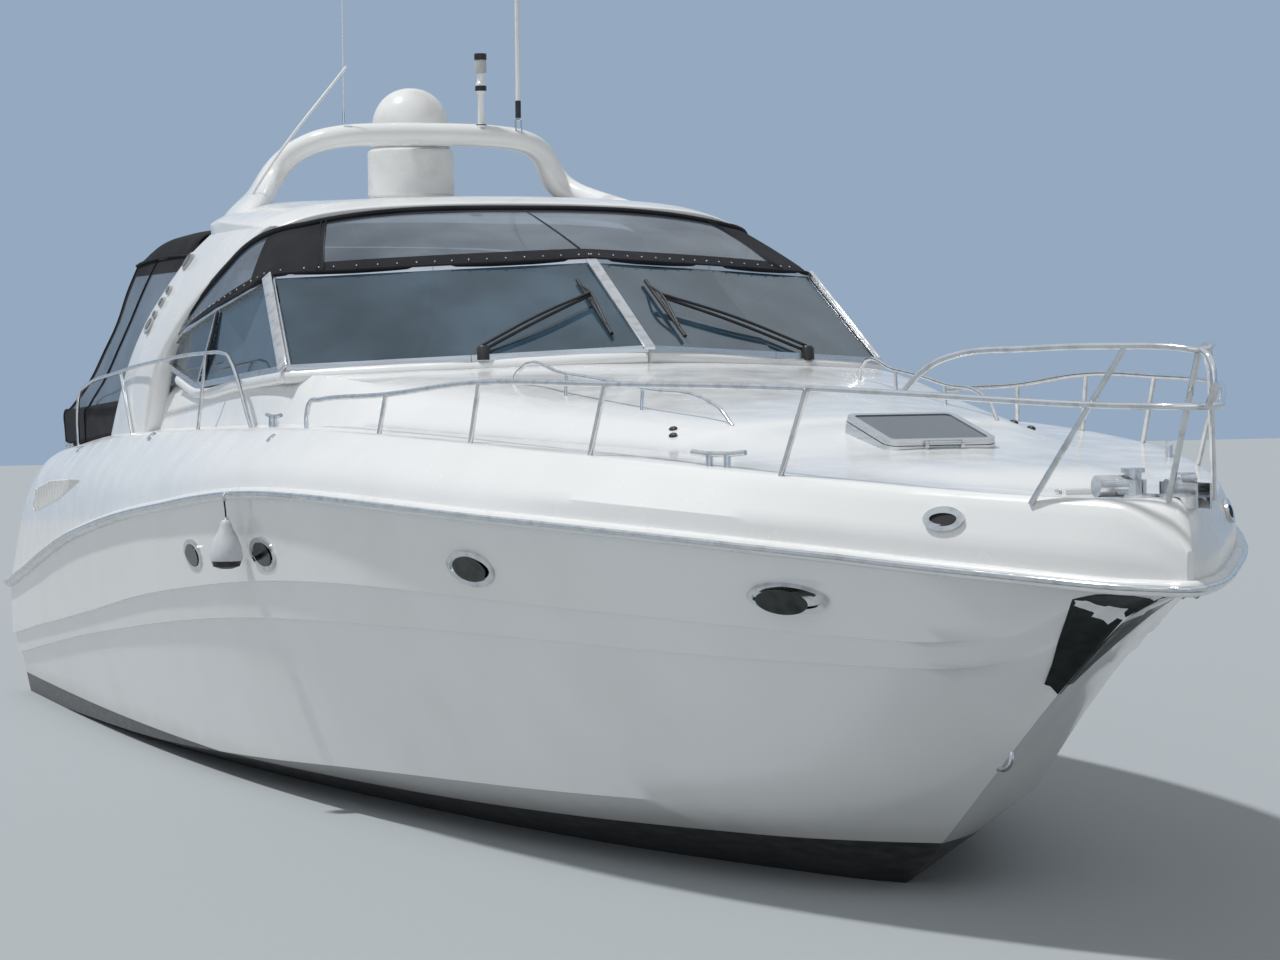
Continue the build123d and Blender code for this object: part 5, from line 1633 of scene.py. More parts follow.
@dataclass
class Rails:
    """The bow rail with its pulpit, the gate rails and the trunk handrails, in smooth bent tube."""

    shop: Workshop
    main: Tuple[Point, ...] = (
        (0.845, 1.720, 1.890), (0.822, 1.713, 1.960), (0.850, 1.707, 2.018), (0.980, 1.694, 2.036),
        (1.870, 1.615, 2.066), (2.860, 1.480, 2.122), (3.900, 1.270, 2.116), (5.120, 0.885, 2.098),
        (5.600, 0.640, 2.074), (5.950, 0.440, 2.052), (6.200, 0.290, 2.038), (6.400, 0.180, 2.032),
        (6.540, 0.085, 2.030),
    )
    upper: Tuple[Point, ...] = (
        (5.500, 0.664, 2.078), (5.555, 0.606, 2.160), (5.650, 0.540, 2.213), (5.950, 0.360, 2.240),
        (6.330, 0.170, 2.245), (6.500, 0.080, 2.240),
    )
    drop: Tuple[Point, ...] = (
        (6.575, 0.0, 2.226), (6.632, 0.0, 2.198), (6.660, 0.0, 2.130), (6.652, 0.0, 2.075),
        (6.622, 0.0, 2.034),
    )
    posts: Tuple[Tuple[Point, Point], ...] = (
        ((1.820, 1.640, 1.862), (1.870, 1.615, 2.066)),
        ((2.776, 1.500, 1.835), (2.860, 1.480, 2.122)),
        ((3.748, 1.290, 1.800), (3.900, 1.270, 2.116)),
        ((4.900, 0.915, 1.740), (5.120, 0.890, 2.098)),
        ((5.988, 0.378, 1.675), (6.330, 0.170, 2.245)),
    )
    gate: Tuple[Point, ...] = (
        (-0.070, 1.765, 1.870), (-0.160, 1.760, 1.930), (-0.700, 1.725, 2.245), (-0.860, 1.720, 2.272),
        (-1.175, 1.738, 2.275), (-2.200, 1.775, 2.235), (-3.330, 1.782, 2.166), (-4.350, 1.765, 2.078),
        (-4.620, 1.745, 2.020), (-4.700, 1.740, 1.920), (-4.710, 1.735, 1.680),
    )
    gate_posts: Tuple[Tuple[Point, Point], ...] = (
        ((-1.280, 1.765, 1.845), (-1.175, 1.738, 2.275)),
        ((-2.840, 1.790, 1.800), (-3.190, 1.781, 2.174)),
        ((-0.110, 1.750, 1.870), (-0.560, 1.712, 2.128)),
    )
    trunk: Tuple[Point, ...] = (
        (1.560, 0.905, 2.070), (1.620, 0.890, 2.165), (2.150, 0.830, 2.150), (2.900, 0.735, 2.086),
        (3.560, 0.640, 2.010), (3.680, 0.620, 1.930),
    )
    trunk_posts: Tuple[Tuple[Point, Point], ...] = (
        ((2.150, 0.838, 1.990), (2.150, 0.830, 2.150)),
        ((2.900, 0.743, 1.950), (2.900, 0.735, 2.086)),
    )
    main_tip: Point = (6.585, 0.0, 2.030)
    upper_tip: Point = (6.575, 0.0, 2.228)
    tip_post: Tuple[Point, Point] = ((6.330, 0.0, 1.690), (6.558, 0.0, 2.230))

    @staticmethod
    def sided(points: Sequence[Point], side: int) -> List[Point]:
        """The same points on one side of the boat."""
        return [(x, side * y, z) for x, y, z in points]

    def round_bow(self, points: Sequence[Point], tip: Point) -> List[Point]:
        """A line from starboard round the bow to port."""
        return self.sided(points, -1) + [tip] + list(reversed(points))

    def build(self) -> None:
        """Make every rail."""
        bends = [
            self.round_bow(self.main, self.main_tip), self.round_bow(self.upper, self.upper_tip), self.drop
        ]
        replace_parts(self.shop.tube("bow_rail_tube", bends, 0.0125, "stainless"), "bow_rail")
        feet = [tuple(self.sided(post, side)) for side in (-1, 1) for post in self.posts] + [self.tip_post]
        self.shop.tube("bow_rail_posts", feet, 0.0115, "stainless", lay=Lay.STRAIGHT)
        for word, side in SIDES:
            for rail, line, thick, posts, thin in (
                ("gate_rail", self.gate, 0.011, self.gate_posts, 0.010),
                ("trunk_rail", self.trunk, 0.009, self.trunk_posts, 0.008),
            ):
                tube = self.shop.tube(f"{rail}_tube_{word}", [self.sided(line, side)], thick, "stainless")
                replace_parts(tube, f"{rail}_{word}")
                feet = [self.sided(post, side) for post in posts]
                self.shop.tube(f"{rail}_posts_{word}", feet, thin, "stainless", lay=Lay.STRAIGHT)


@dataclass
class RubRail:
    """The white rubbing band and the bright strip along it.

    Each line has its name, how far it stands out, where its tip is, its radius and its slot.
    """

    shop: Workshop
    stem: Point = (6.478, 0.022, 1.381)
    lines: Tuple[Tuple[str, float, float, float, str], ...] = (
        ("rub_rail_band", 0.006, 6.490, 0.031, "white_plastic"),
        ("rub_rail_strip", 0.0360, 6.520, 0.0118, "stainless"),
    )

    def build(self) -> None:
        """Skin the band and run the strip along its crown."""
        line = [(row.x / 1000, row.y_rail / 1000, row.z_rail / 1000) for row in STATIONS[:-1]] + [self.stem]
        spots = []
        for i, spot in enumerate(line):
            before, after = Vector(line[max(i - 1, 0)]), Vector(line[min(i + 1, len(line) - 1)])
            flat = Vector(((after - before).x, (after - before).y, 0.0)).normalized()
            out = Vector((-flat.y, flat.x, 0.0)) if flat.x > 0 else Vector((flat.y, -flat.x, 0.0))
            spots.append((Vector(spot), out))
        for name, reach, tip, thick, slot in self.lines:
            one = [tuple(spot + out * reach) for spot, out in spots]
            piece = self.shop.tube(name, [whole(one + [(tip, 0.0, self.stem[2])])], thick, slot)
            if slot == "white_plastic":
                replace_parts(piece, "rub_rail")


def eased(line: List[Vector], steps: int) -> List[Vector]:
    """Points along a smooth curve through a line's points.

    Args:
        line: The points that the curve passes.
        steps: How many points each span gets.

    Returns:
        The curve's points, the last one included.
    """
    spans = [max((far - near).length, 1e-4) for near, far in zip(line, line[1:])]
    slopes = [(far - near) / span for near, far, span in zip(line, line[1:], spans)]
    ways = [slopes[0]]
    for before, after, span, following in zip(slopes, slopes[1:], spans, spans[1:]):
        ways.append((before * following + after * span) / (span + following))
    ways.append(slopes[-1])
    made = []
    for near, far, way, onward, span in zip(line, line[1:], ways, ways[1:], spans):
        for step in range(steps):
            t = step / steps
            leaving = near * (2 * t**3 - 3 * t**2 + 1) + way * span * (t**3 - 2 * t**2 + t)
            made.append(leaving + far * (3 * t**2 - 2 * t**3) + onward * span * (t**3 - t**2))
    return made + [line[-1]]


def bowed(ends: Tuple[Point, Point], share: float, side: int) -> Vector:
    """A point of one of the windshield's bowed edges.

    Args:
        ends: The edge's middle and its port corner.
        share: The point's place, 0 at the middle and 1 at the corner.
        side: 1 for port, -1 for starboard.

    Returns:
        The point.
    """
    mid, corner = Vector(ends[0]), Vector(ends[1])
    spot = mid.lerp(corner, share)
    return Vector((spot.x + 0.10 * (mid.x - corner.x) * 4 * share * (1 - share), side * spot.y, spot.z))


class Stuff(Enum):
    """What a stretch of an enclosure sheet is made of."""

    DARK = 0
    CLEAR = 1


@dataclass
class SheetMaker:
    """Sews one curved sheet from rows of points, with dark borders and clear panes."""

    shop: Workshop
    thick: float = 0.0016
    column_steps: int = 4
    row_steps: int = 3

    def sew(
        self,
        name: str,
        rows: List[List[Point]],
        panes: List[Tuple[int, int, int, int]],
        belly: float = 0.0,
    ) -> bpy.types.Object:
        """Make the sheet from a grid, move its points to the rows, and mark the clear panes.

        Args:
            name: The piece's name.
            rows: Rows of points from the lower edge to the upper, all of one length.
            panes: Clear stretches as first and last column, first and last row.
            belly: How far the cloth stands out between its edges.

        Returns:
            The sheet's object.
        """
        across = [eased([Vector(spot) for spot in row], self.column_steps) for row in rows]
        fine = [
            list(column) for column in zip(*(eased(list(column), self.row_steps) for column in zip(*across)))
        ]
        tall, long = len(fine), len(fine[0])
        shape = bmesh.new()
        bmesh.ops.create_grid(shape, x_segments=long - 1, y_segments=tall - 1, size=1.0)
        ordered = sorted(shape.verts, key=lambda vert: (round(vert.co.y, 5), round(vert.co.x, 5)))
        place = {vert: divmod(count, long) for count, vert in enumerate(ordered)}
        for vert, (row, column) in place.items():
            vert.co = fine[row][column]
        shape.normal_update()
        for face in shape.faces:
            row = min(place[vert][0] for vert in face.verts) // self.row_steps
            column = min(place[vert][1] for vert in face.verts) // self.column_steps
            clear = any(first <= column < last and low <= row < high for first, last, low, high in panes)
            face.material_index = Stuff.CLEAR.value if clear else Stuff.DARK.value
            face.smooth = True
        if belly:
            for vert, (row, column) in place.items():
                share = math.sin(math.pi * row / (tall - 1)) * math.sin(math.pi * column / (long - 1)) ** 0.5
                vert.co += vert.normal * belly * share
        area = sum(face.calc_area() for face in shape.faces)
        mesh = meshed(name, shape)
        mesh.materials.append(self.shop.finishes.of("canvas"))
        mesh.materials.append(self.shop.finishes.of("clear_vinyl"))
        piece = self.shop.place(name, mesh, "clear_vinyl")
        wall = piece.modifiers.new("cloth", "SOLIDIFY")
        wall.thickness = self.thick
        wall.offset = 0.0
        return piece


@dataclass
class FrontCanvas:
    """The enclosure from the windshield's top up to the hardtop, round both corners."""

    shop: Workshop
    lower: Tuple[Point, ...] = (
        (-2.430, 1.640, 2.318), (-2.150, 1.630, 2.408), (-1.780, 1.622, 2.472), (-1.400, 1.612, 2.532),
        (-1.100, 1.590, 2.582),
        (-0.860, 1.568, 2.622), (-0.560, 1.536, 2.676),
    )
    upper: Tuple[Point, ...] = (
        (-2.400, 1.650, 2.332), (-2.130, 1.620, 2.470), (-1.830, 1.575, 2.612), (-1.500, 1.515, 2.760),
        (-1.280, 1.455, 2.862),
        (-1.130, 1.385, 2.914), (-1.030, 1.300, 2.941),
    )
    shares: Tuple[float, ...] = (0.93, 0.86, 0.84, 0.70, 0.52, 0.36, 0.18, 0.005, 0.0)
    levels: Tuple[float, ...] = (0.0, 0.06, 0.14, 0.35, 0.60, 0.82, 0.93, 1.0)
    head_bead: float = 0.024
    foot_bead: float = 0.016
    zip_proud: Point = (0.012, 0.0, 0.010)
    snap_rise: float = 0.022
    snap_proud: float = 0.010
    snap_pitch: float = 0.085
    snap_radius: float = 0.0055

    def screen_top(self, share: float) -> Vector:
        """A point of the windshield's top bar, share 0 at the middle and 1 at the port corner."""
        return bowed(SCREEN_TOP, share, 1)

    @staticmethod
    def mirrored(line: List[Vector]) -> List[Vector]:
        """A line's starboard copy, then the line itself back from the middle."""
        return [Vector((v.x, -v.y, v.z)) for v in line] + [v.copy() for v in reversed(line[:-1])]

    def edges(self) -> Tuple[List[Vector], List[Vector]]:
        """Lower and upper edges.

        Returns:
            The two lines, from the starboard arch leg round to the port one.
        """
        low, high = [Vector(point) for point in self.lower], [Vector(point) for point in self.upper]
        for share in self.shares:
            top = self.screen_top(share)
            low.append(Vector((top.x - 0.006, top.y, top.z + 0.020)))
            x, z = -1.000 + 0.02 * (1 - share), 3.046 - 0.115 * share**3
            high.append(Vector((x, 1.340 * share * 0.985, z)))
        return self.mirrored(low), self.mirrored(high)

    def build(self) -> None:
        """Sew the sheet, then bead its edges, stud its foot and zip its corners."""
        low, high = self.edges()
        rows = [[tuple(a.lerp(b, level)) for a, b in zip(low, high)] for level in self.levels]
        last = len(low) - 1
        corner = len(self.lower)
        panes = [(1, 5, 2, 6), (last - 5, last - 1, 2, 6)]
        panes += [(corner + 2, corner + 7, 2, 6), (last - corner - 7, last - corner - 2, 2, 6)]
        sheet = SheetMaker(self.shop).sew("front_enclosure", rows, panes, 0.018)
        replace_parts(sheet, "front_canvas")
        self.shop.tube("front_enclosure_head_bead", [[tuple(v) for v in high]], self.head_bead, "canvas")
        foot = [tuple(v + Vector((0.0, 0.0, -0.004))) for v in low]
        self.shop.tube("front_enclosure_foot_bead", [foot], self.foot_bead, "canvas")
        self.snaps(low)
        proud = Vector(self.zip_proud)
        for word, side in SIDES:
            for column in (corner + 1, corner + 2):
                index = column if side < 0 else last - column
                line = [tuple(low[index].lerp(high[index], step / 6) + proud) for step in range(7)]
                name = f"front_enclosure_zip_{word}_{column}"
                self.shop.tube(name, [line], 0.004, "black_plastic", finish="canvas")

    def snaps(self, low: List[Vector]) -> None:
        """A row of small bright snaps along the foot band.

        Args:
            low: The sheet's lower edge.
        """
        shape = bmesh.new()
        for near, far in zip(low, low[1:]):
            count = max(int((far - near).length / self.snap_pitch), 1)
            out = Vector(((far - near).y, -(far - near).x, 0.0)).normalized()
            out = out if out.x + 0.3 * abs(out.y) > 0 or out.y * near.y > 0 else -out
            for step in range(count):
                spot = near.lerp(far, (step + 0.5) / count)
                spot = spot + Vector((0.0, 0.0, self.snap_rise)) + out * self.snap_proud
                made = bmesh.ops.create_icosphere(shape, subdivisions=1, radius=self.snap_radius)
                bmesh.ops.translate(shape, verts=made["verts"], vec=spot)
        self.shop.shaped("front_enclosure_snaps", shape, "stainless", sharp=3.2)


@dataclass
class AftCanvas:
    """The enclosure behind the arch: side curtains, the back and the roof, in dark cloth and clear vinyl."""

    shop: Workshop
    curtain: Tuple[Tuple[float, ...], ...] = (
        (-3.560, 1.690, 1.805, -5.285, 1.694, 1.690),
        (-3.500, 1.694, 1.900, -5.300, 1.698, 1.800),
        (-3.450, 1.694, 1.968, -5.310, 1.700, 1.905),
        (-3.420, 1.690, 2.010, -5.200, 1.688, 1.930),
        (-3.385, 1.688, 2.060, -5.090, 1.672, 1.975),
        (-3.330, 1.680, 2.130, -4.840, 1.620, 2.120),
        (-3.180, 1.640, 2.310, -4.620, 1.574, 2.300),
        (-3.030, 1.600, 2.480, -4.420, 1.528, 2.480),
        (-2.860, 1.520, 2.670, -4.290, 1.490, 2.665),
        (-2.800, 1.480, 2.760, -4.210, 1.466, 2.760),
        (-2.700, 1.438, 2.862, -4.122, 1.446, 2.842),
    )
    roof: Tuple[Tuple[float, ...], ...] = (
        (-2.700, 1.442, 2.850, 1.290, 2.990, 3.036),
        (-3.300, 1.445, 2.862, 1.290, 2.995, 3.056),
        (-3.760, 1.448, 2.854, 1.285, 2.980, 3.056),
        (-4.020, 1.451, 2.842, 1.275, 2.925, 3.010),
        (-4.175, 1.452, 2.828, 1.262, 2.880, 2.944),
    )
    columns: Tuple[float, ...] = (0.0, 0.05, 0.20, 0.42, 0.64, 0.66, 0.82, 0.96, 1.0)
    back: Tuple[float, ...] = (0.94, 0.6, 0.36, 0.33, 0.0)
    crown_rise: float = 0.098
    zip_share: float = 0.65

    def build(self) -> None:
        """Sew the curtain that runs round three sides, then the roof, then seam them."""
        rows = []
        for row, (x_fore, y_fore, z_fore, x_aft, y_aft, z_aft) in enumerate(self.curtain):
            rise = self.crown_rise * max(row - len(self.curtain) + 3, 0) / 2
            half = []
            for t in self.columns:
                x, y = x_fore + (x_aft - x_fore) * t, y_fore + (y_aft - y_fore) * t
                half.append((x, y, z_fore + (z_aft - z_fore) * t))
            for share in self.back:
                bow = 0.05 * math.sin(math.pi * (1 - share) / 2 + 0.2)
                half.append((x_aft - bow, y_aft * share, z_aft + rise * (1 - share**3)))
            rows.append(whole(half))
        last = len(rows[0]) - 1
        spans = [(1, 4), (5, 7), (9, 11), (12, last - 12), (last - 11, last - 9), (last - 7, last - 5)]
        panes = [(*span, 3, 9) for span in spans + [(last - 4, last - 1)]]
        maker = SheetMaker(self.shop)
        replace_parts(maker.sew("aft_enclosure", rows, panes, 0.0), "aft_canvas")
        roof_rows = []
        for x, y_edge, z_edge, y_high, z_high, z_crown in self.roof:
            shoulder = (x, (y_edge + y_high) / 2 + 0.02, (z_edge + z_high) / 2 + 0.03)
            slope = (x, 1.0, (z_high + z_crown) / 2 + 0.012)
            crown = [(x, 0.5, z_crown), (x, 0.0, z_crown + 0.006)]
            roof_rows.append(whole([(x, y_edge, z_edge), shoulder, (x, y_high, z_high), slope] + crown))
        maker.sew("aft_enclosure_roof", roof_rows, [], 0.0)
        for word, side in SIDES:
            corner = [(x, side * (y + 0.003), z) for _, _, _, x, y, z in self.curtain]
            self.shop.tube("aft_enclosure_corner_seam_" + word, [corner], 0.008, "canvas")
            front = [(x + 0.01, side * (y + 0.002), z) for x, y, z, _, _, _ in self.curtain]
            self.shop.tube("aft_enclosure_front_seam_" + word, [front], 0.007, "canvas")
            share = self.zip_share
            zip_row = []
            for xf, yf, zf, xa, ya, za in self.curtain:
                y = yf + (ya - yf) * share + 0.004
                zip_row.append((xf + (xa - xf) * share, side * y, zf + (za - zf) * share))
            self.shop.tube("aft_enclosure_zip_" + word, [zip_row], 0.005, "canvas")
            eave = [(x, side * (y + 0.004), z) for x, y, z, *_ in self.roof]
            self.shop.tube("aft_enclosure_eave_" + word, [eave], 0.010, "canvas")


@dataclass
class Glazing:
    """The windshield's bright frame, its wide corner posts, gaskets and the wipers."""

    shop: Workshop
    foot: Tuple[Point, Point] = ((1.010, 0.0, 2.268), (0.150, 1.633, 2.190))
    side_foot: Tuple[Point, ...] = (
        (0.150, 1.633, 2.190), (-0.900, 1.640, 2.139), (-1.780, 1.640, 2.096), (-2.250, 1.640, 2.165)
    )
    sweeps: Tuple[Tuple[int, float, float, float, float, float, float], ...] = (
        (-1, 0.465, 0.05, 0.085, 0.53, 0.76, 0.14),
        (1, 0.650, 0.04, 0.165, 0.52, 0.76, 0.12),
    )
    drum: Profile = ((0.0, -0.050), (0.036, -0.050), (0.034, 0.010), (0.022, 0.024), (0.0, 0.024))
    shares: Tuple[float, ...] = (0.0, 0.25, 0.45, 0.65, 0.85, 1.0)
    middle_post: Tuple[Point, Point] = ((1.028, 0.0, 2.268), (0.171, 0.0, 2.734))
    corner_post: Tuple[Point, Point] = ((0.154, 1.654, 2.186), (-0.542, 1.554, 2.674))
    middle_cover: Tuple[float, float] = (0.062, 0.020)
    corner_cover: Tuple[float, float] = (0.064, 0.022)
    coaming_sunk: Point = (-0.012, 0.0, -0.044)
    coaming_thick: float = 0.036
    arm_spread: float = 0.014
    divider: Tuple[Point, ...] = ((-1.700, 1.634, 2.130), (-1.555, 1.626, 2.300), (-1.410, 1.612, 2.505))

    def on_glass(self, share: float, up: float, side: int, proud: float) -> Vector:
        """A point of the windshield, standing proud of it.

        Args:
            share: Its place across, 0 at the middle and 1 at the corner.
            up: Its place between foot and head, 0 to 1.
            side: 1 for port, -1 for starboard.
            proud: How far it stands off the glass.

        Returns:
            The point.
        """
        low, high = bowed(self.foot, share, side), bowed(SCREEN_TOP, share, side)
        return low.lerp(high, up) + Vector((0.46, side * 0.30 * share, 0.84)).normalized() * proud

    def wipers(self) -> None:
        """Two wipers: a black drum, a double arm and a long blade on its yoke."""
        for word, (side, foot, low, tip, reach, top, bottom) in zip(("stbd", "port"), self.sweeps):
            pivot, wrist = self.on_glass(foot, low, side, 0.030), self.on_glass(tip, reach, side, 0.055)
            rods = []
            for shift in (-self.arm_spread, self.arm_spread):
                away = Vector((0.0, 0.0, shift))
                elbow = pivot.lerp(wrist, 0.5) + away + Vector((0.012, 0.0, 0.012))
                rods.append([tuple(pivot + away), tuple(elbow), tuple(wrist + away * 0.5)])
            arm = self.shop.tube("wiper_arm_" + word, rods, 0.008, "black_plastic")
            levels = (top, (top + bottom) / 2, bottom)
            blade = [tuple(self.on_glass(tip, level, side, 0.022)) for level in levels]
            self.shop.tube("wiper_blade_" + word, [blade], 0.010, "black_plastic")
            bridge = ((top - 0.08, 0.028), (reach, 0.060), (bottom + 0.10, 0.028))
            yoke = [tuple(self.on_glass(tip, level, side, proud)) for level, proud in bridge]
            self.shop.tube("wiper_yoke_" + word, [yoke], 0.007, "black_plastic")
            spot = tuple(pivot + Vector((0.02, 0.0, -0.010)))
            self.shop.turned("wiper_drum_" + word, self.drum, spot, "black_plastic", sharp=0.7)
            if side < 0:
                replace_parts(arm, "wipers")

    def coaming(self) -> None:
        """The rounded moulding that the windshield and the side windows stand on."""
        for word, side in SIDES:
            sunk = Vector(self.coaming_sunk)
            front = [tuple(bowed(self.foot, share, side) + sunk) for share in self.shares]
            run = [(x, side * (y - 0.008), z - 0.040) for x, y, z in self.side_foot]
            self.shop.tube("screen_coaming_" + word, [front, run], self.coaming_thick, "gelcoat")

    def strip(
        self, shape: bmesh.types.BMesh, start: Point, end: Point, wide: float, thick: float, face: Vector
    ) -> None:
        """A flat bar between two points.

        Args:
            shape: The bmesh that gets the bar.
            start: Its foot.
            end: Its head.
            wide: Its width.
            thick: Its thickness.
            face: Where its broad side looks.
        """
        a, b = Vector(start), Vector(end)
        along = (b - a).normalized()
        across = along.cross(face).normalized()
        out = across.cross(along).normalized()
        made = bmesh.ops.create_cube(shape, size=1.0)
        posed(shape, made["verts"], (across * wide, out * thick, along * (b - a).length), (a + b) / 2)

    def build(self) -> None:
        """Skin the frame, widen its posts and line the panes."""
        self.shop.polished("windshield_frame", 0.5, 0.003)
        trims = bmesh.new()
        self.strip(trims, *self.middle_post, *self.middle_cover, Vector((0.48, 0.0, 0.88)))
        for _, side in SIDES:
            outward = Vector((0.42, side * 0.80, 0.42)).normalized()
            foot, head = Rails.sided(self.corner_post, side)
            self.strip(trims, foot, head, *self.corner_cover, outward)
        rounded(trims, 0.005, 3)
        self.shop.shaped("windshield_post_covers", trims, "aluminium_frame", finish="stainless")
        gaskets = [Rails.sided(self.divider, side) for _, side in SIDES]
        self.shop.tube("side_window_dividers", gaskets, 0.010, "black_plastic")
        self.coaming()
        self.wipers()


@dataclass
class Openings:
    """The portholes, the foredeck hatch and the hawse rings."""

    shop: Workshop
    lens: float = 0.70
    throat: Tuple[float, float] = (0.66, 0.60)
    lid_rim: float = 0.030
    lid_lip: float = 0.003
    lid_sunk: float = 0.004

    def build(self) -> None:
        """Skin the bright rings, lay glass with a painted dark reflection and discs of painted shade in them
        and frame the hatch lid.
        """
        for word, side in SIDES:
            piece = self.shop.polished("portholes_" + word, 0.6, 0.004, pierced=True)
            self.lenses(piece, word, side)
        self.hawse_throats(self.shop.polished("hawse_rings", 0.6, 0.006, pierced=True))
        self.shop.polished("foredeck_hatch_frame", 0.6, 0.004, pierced=True)
        self.hatch_lid()

    @staticmethod
    def islands(shape: bmesh.types.BMesh) -> List[List[bmesh.types.BMFace]]:
        """A mesh's separate pieces.

        Args:
            shape: The mesh.

        Returns:
            The faces of each piece.
        """
        left = set(shape.faces)
        found = []
        while left:
            queue = [left.pop()]
            island = list(queue)
            while queue:
                for edge in queue.pop().edges:
                    for face in edge.link_faces:
                        if face in left:
                            left.remove(face)
                            queue.append(face)
                            island.append(face)
            found.append(island)
        return found

    def lenses(self, piece: bpy.types.Object, word: str, side: int) -> None:
        """A dark oval of glass in the face of each porthole's ring; its near-black mirror colour is painted
        reflection and shade.

        Args:
            piece: The rings of one side.
            word: The side's name.
            side: 1 for port, -1 for starboard.
        """
        shape = bmesh.new()
        shape.from_mesh(piece.data)
        groups: Dict[int, List[bmesh.types.BMFace]] = {}
        for island in self.islands(shape):
            middle = sum(face.calc_center_median().x for face in island) / len(island)
            groups.setdefault(round(middle / 0.4), []).extend(island)
        panes = bmesh.new()
        for faces in groups.values():
            outer = [face for face in faces if face.normal.y * side > 0.5]
            out = sum((face.normal * face.calc_area() for face in outer), Vector()).normalized()
            spots = [vert.co for face in faces for vert in face.verts]
            extents = [[spot[k] for spot in spots] for k in range(3)]
            middle = Vector([(min(extent) + max(extent)) / 2 for extent in extents])
            across = out.cross(Vector((0.0, 0.0, 1.0))).normalized()
            above = across.cross(out)
            wide = max(abs((spot - middle).dot(across)) for spot in spots)
            tall = max(abs((spot - middle).dot(above)) for spot in spots)
            front = max((spot - middle).dot(out) for spot in spots)
            made = bmesh.ops.create_circle(panes, cap_ends=True, segments=32, radius=1.0)
            axes = (across * wide * self.lens, above * tall * self.lens, out)
            posed(panes, made["verts"], axes, middle + out * (front + 0.001))
        shape.free()
        name = "porthole_lenses_" + word
        plated(self.shop.shaped(name, panes, "black_plastic", sharp=3.2, finish="dark_mirror"))

    def hawse_throats(self, rings: bpy.types.Object) -> None:
        """A dark oval of painted shade inside each hawse ring, square to it, standing for the shadow in the
        hole.

        Args:
            rings: The rings of both sides.
        """
        for word, side in SIDES:
            spots = [vert.co for vert in rings.data.vertices if vert.co.y * side > 0]
            middle = sum(spots, Vector()) / len(spots)
            arms = [spot - middle for spot in spots]
            long = max(arms, key=lambda arm: arm.length)
            short = max(arms, key=lambda arm: arm.cross(long).length / long.length)
            normal = long.cross(short).normalized()
            normal = normal if normal.y * side > 0 else -normal
            short = normal.cross(long).normalized() * short.length
            throat = bmesh.new()
            bmesh.ops.create_circle(throat, cap_ends=True, segments=32, radius=1.0)
            axes = (long * self.throat[0], short * self.throat[1], normal)
            posed(throat, throat.verts, axes, middle + normal * 0.002)
            # the disc's near-black finish is painted shade for the inside of the hole
            name = "hawse_shade_disc_" + word
            plated(self.shop.shaped(name, throat, "black_plastic", sharp=3.2, finish="dark_void"))

    def hatch_lid(self) -> None:
        """The hatch lid: a bright frame round a smoked pane let into its top."""
        source = frame["nodes"]["foredeck_hatch_lid"]
        shape = bmesh.new()
        shape.from_mesh(source.data)
        bmesh.ops.remove_doubles(shape, verts=shape.verts, dist=2e-5)
        bmesh.ops.dissolve_limit(shape, angle_limit=0.02, verts=shape.verts, edges=shape.edges)
        shape.normal_update()
        top = max((face for face in shape.faces if face.normal.z > 0.8), key=lambda face: face.calc_area())
        bmesh.ops.inset_region(shape, faces=[top], thickness=self.lid_rim, depth=0.0, use_even_offset=True)
        lip = bmesh.ops.inset_region(
            shape, faces=[top], thickness=self.lid_lip, depth=-self.lid_sunk, use_even_offset=True
        )
        top.material_index = 1
        for face in lip["faces"]:
            face.material_index = 1
        Workshop.soften(shape, 0.5)
        mesh = meshed("foredeck_hatch_lid_framed", shape)
        mesh.materials.append(self.shop.finishes.of("aluminium_frame"))
        mesh.materials.append(self.shop.finishes.of("smoked_acrylic"))
        piece = self.shop.place("foredeck_hatch_lid_framed", mesh, "smoked_acrylic", "foredeck_hatch_lid")
        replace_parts(piece, "foredeck_hatch_lid")


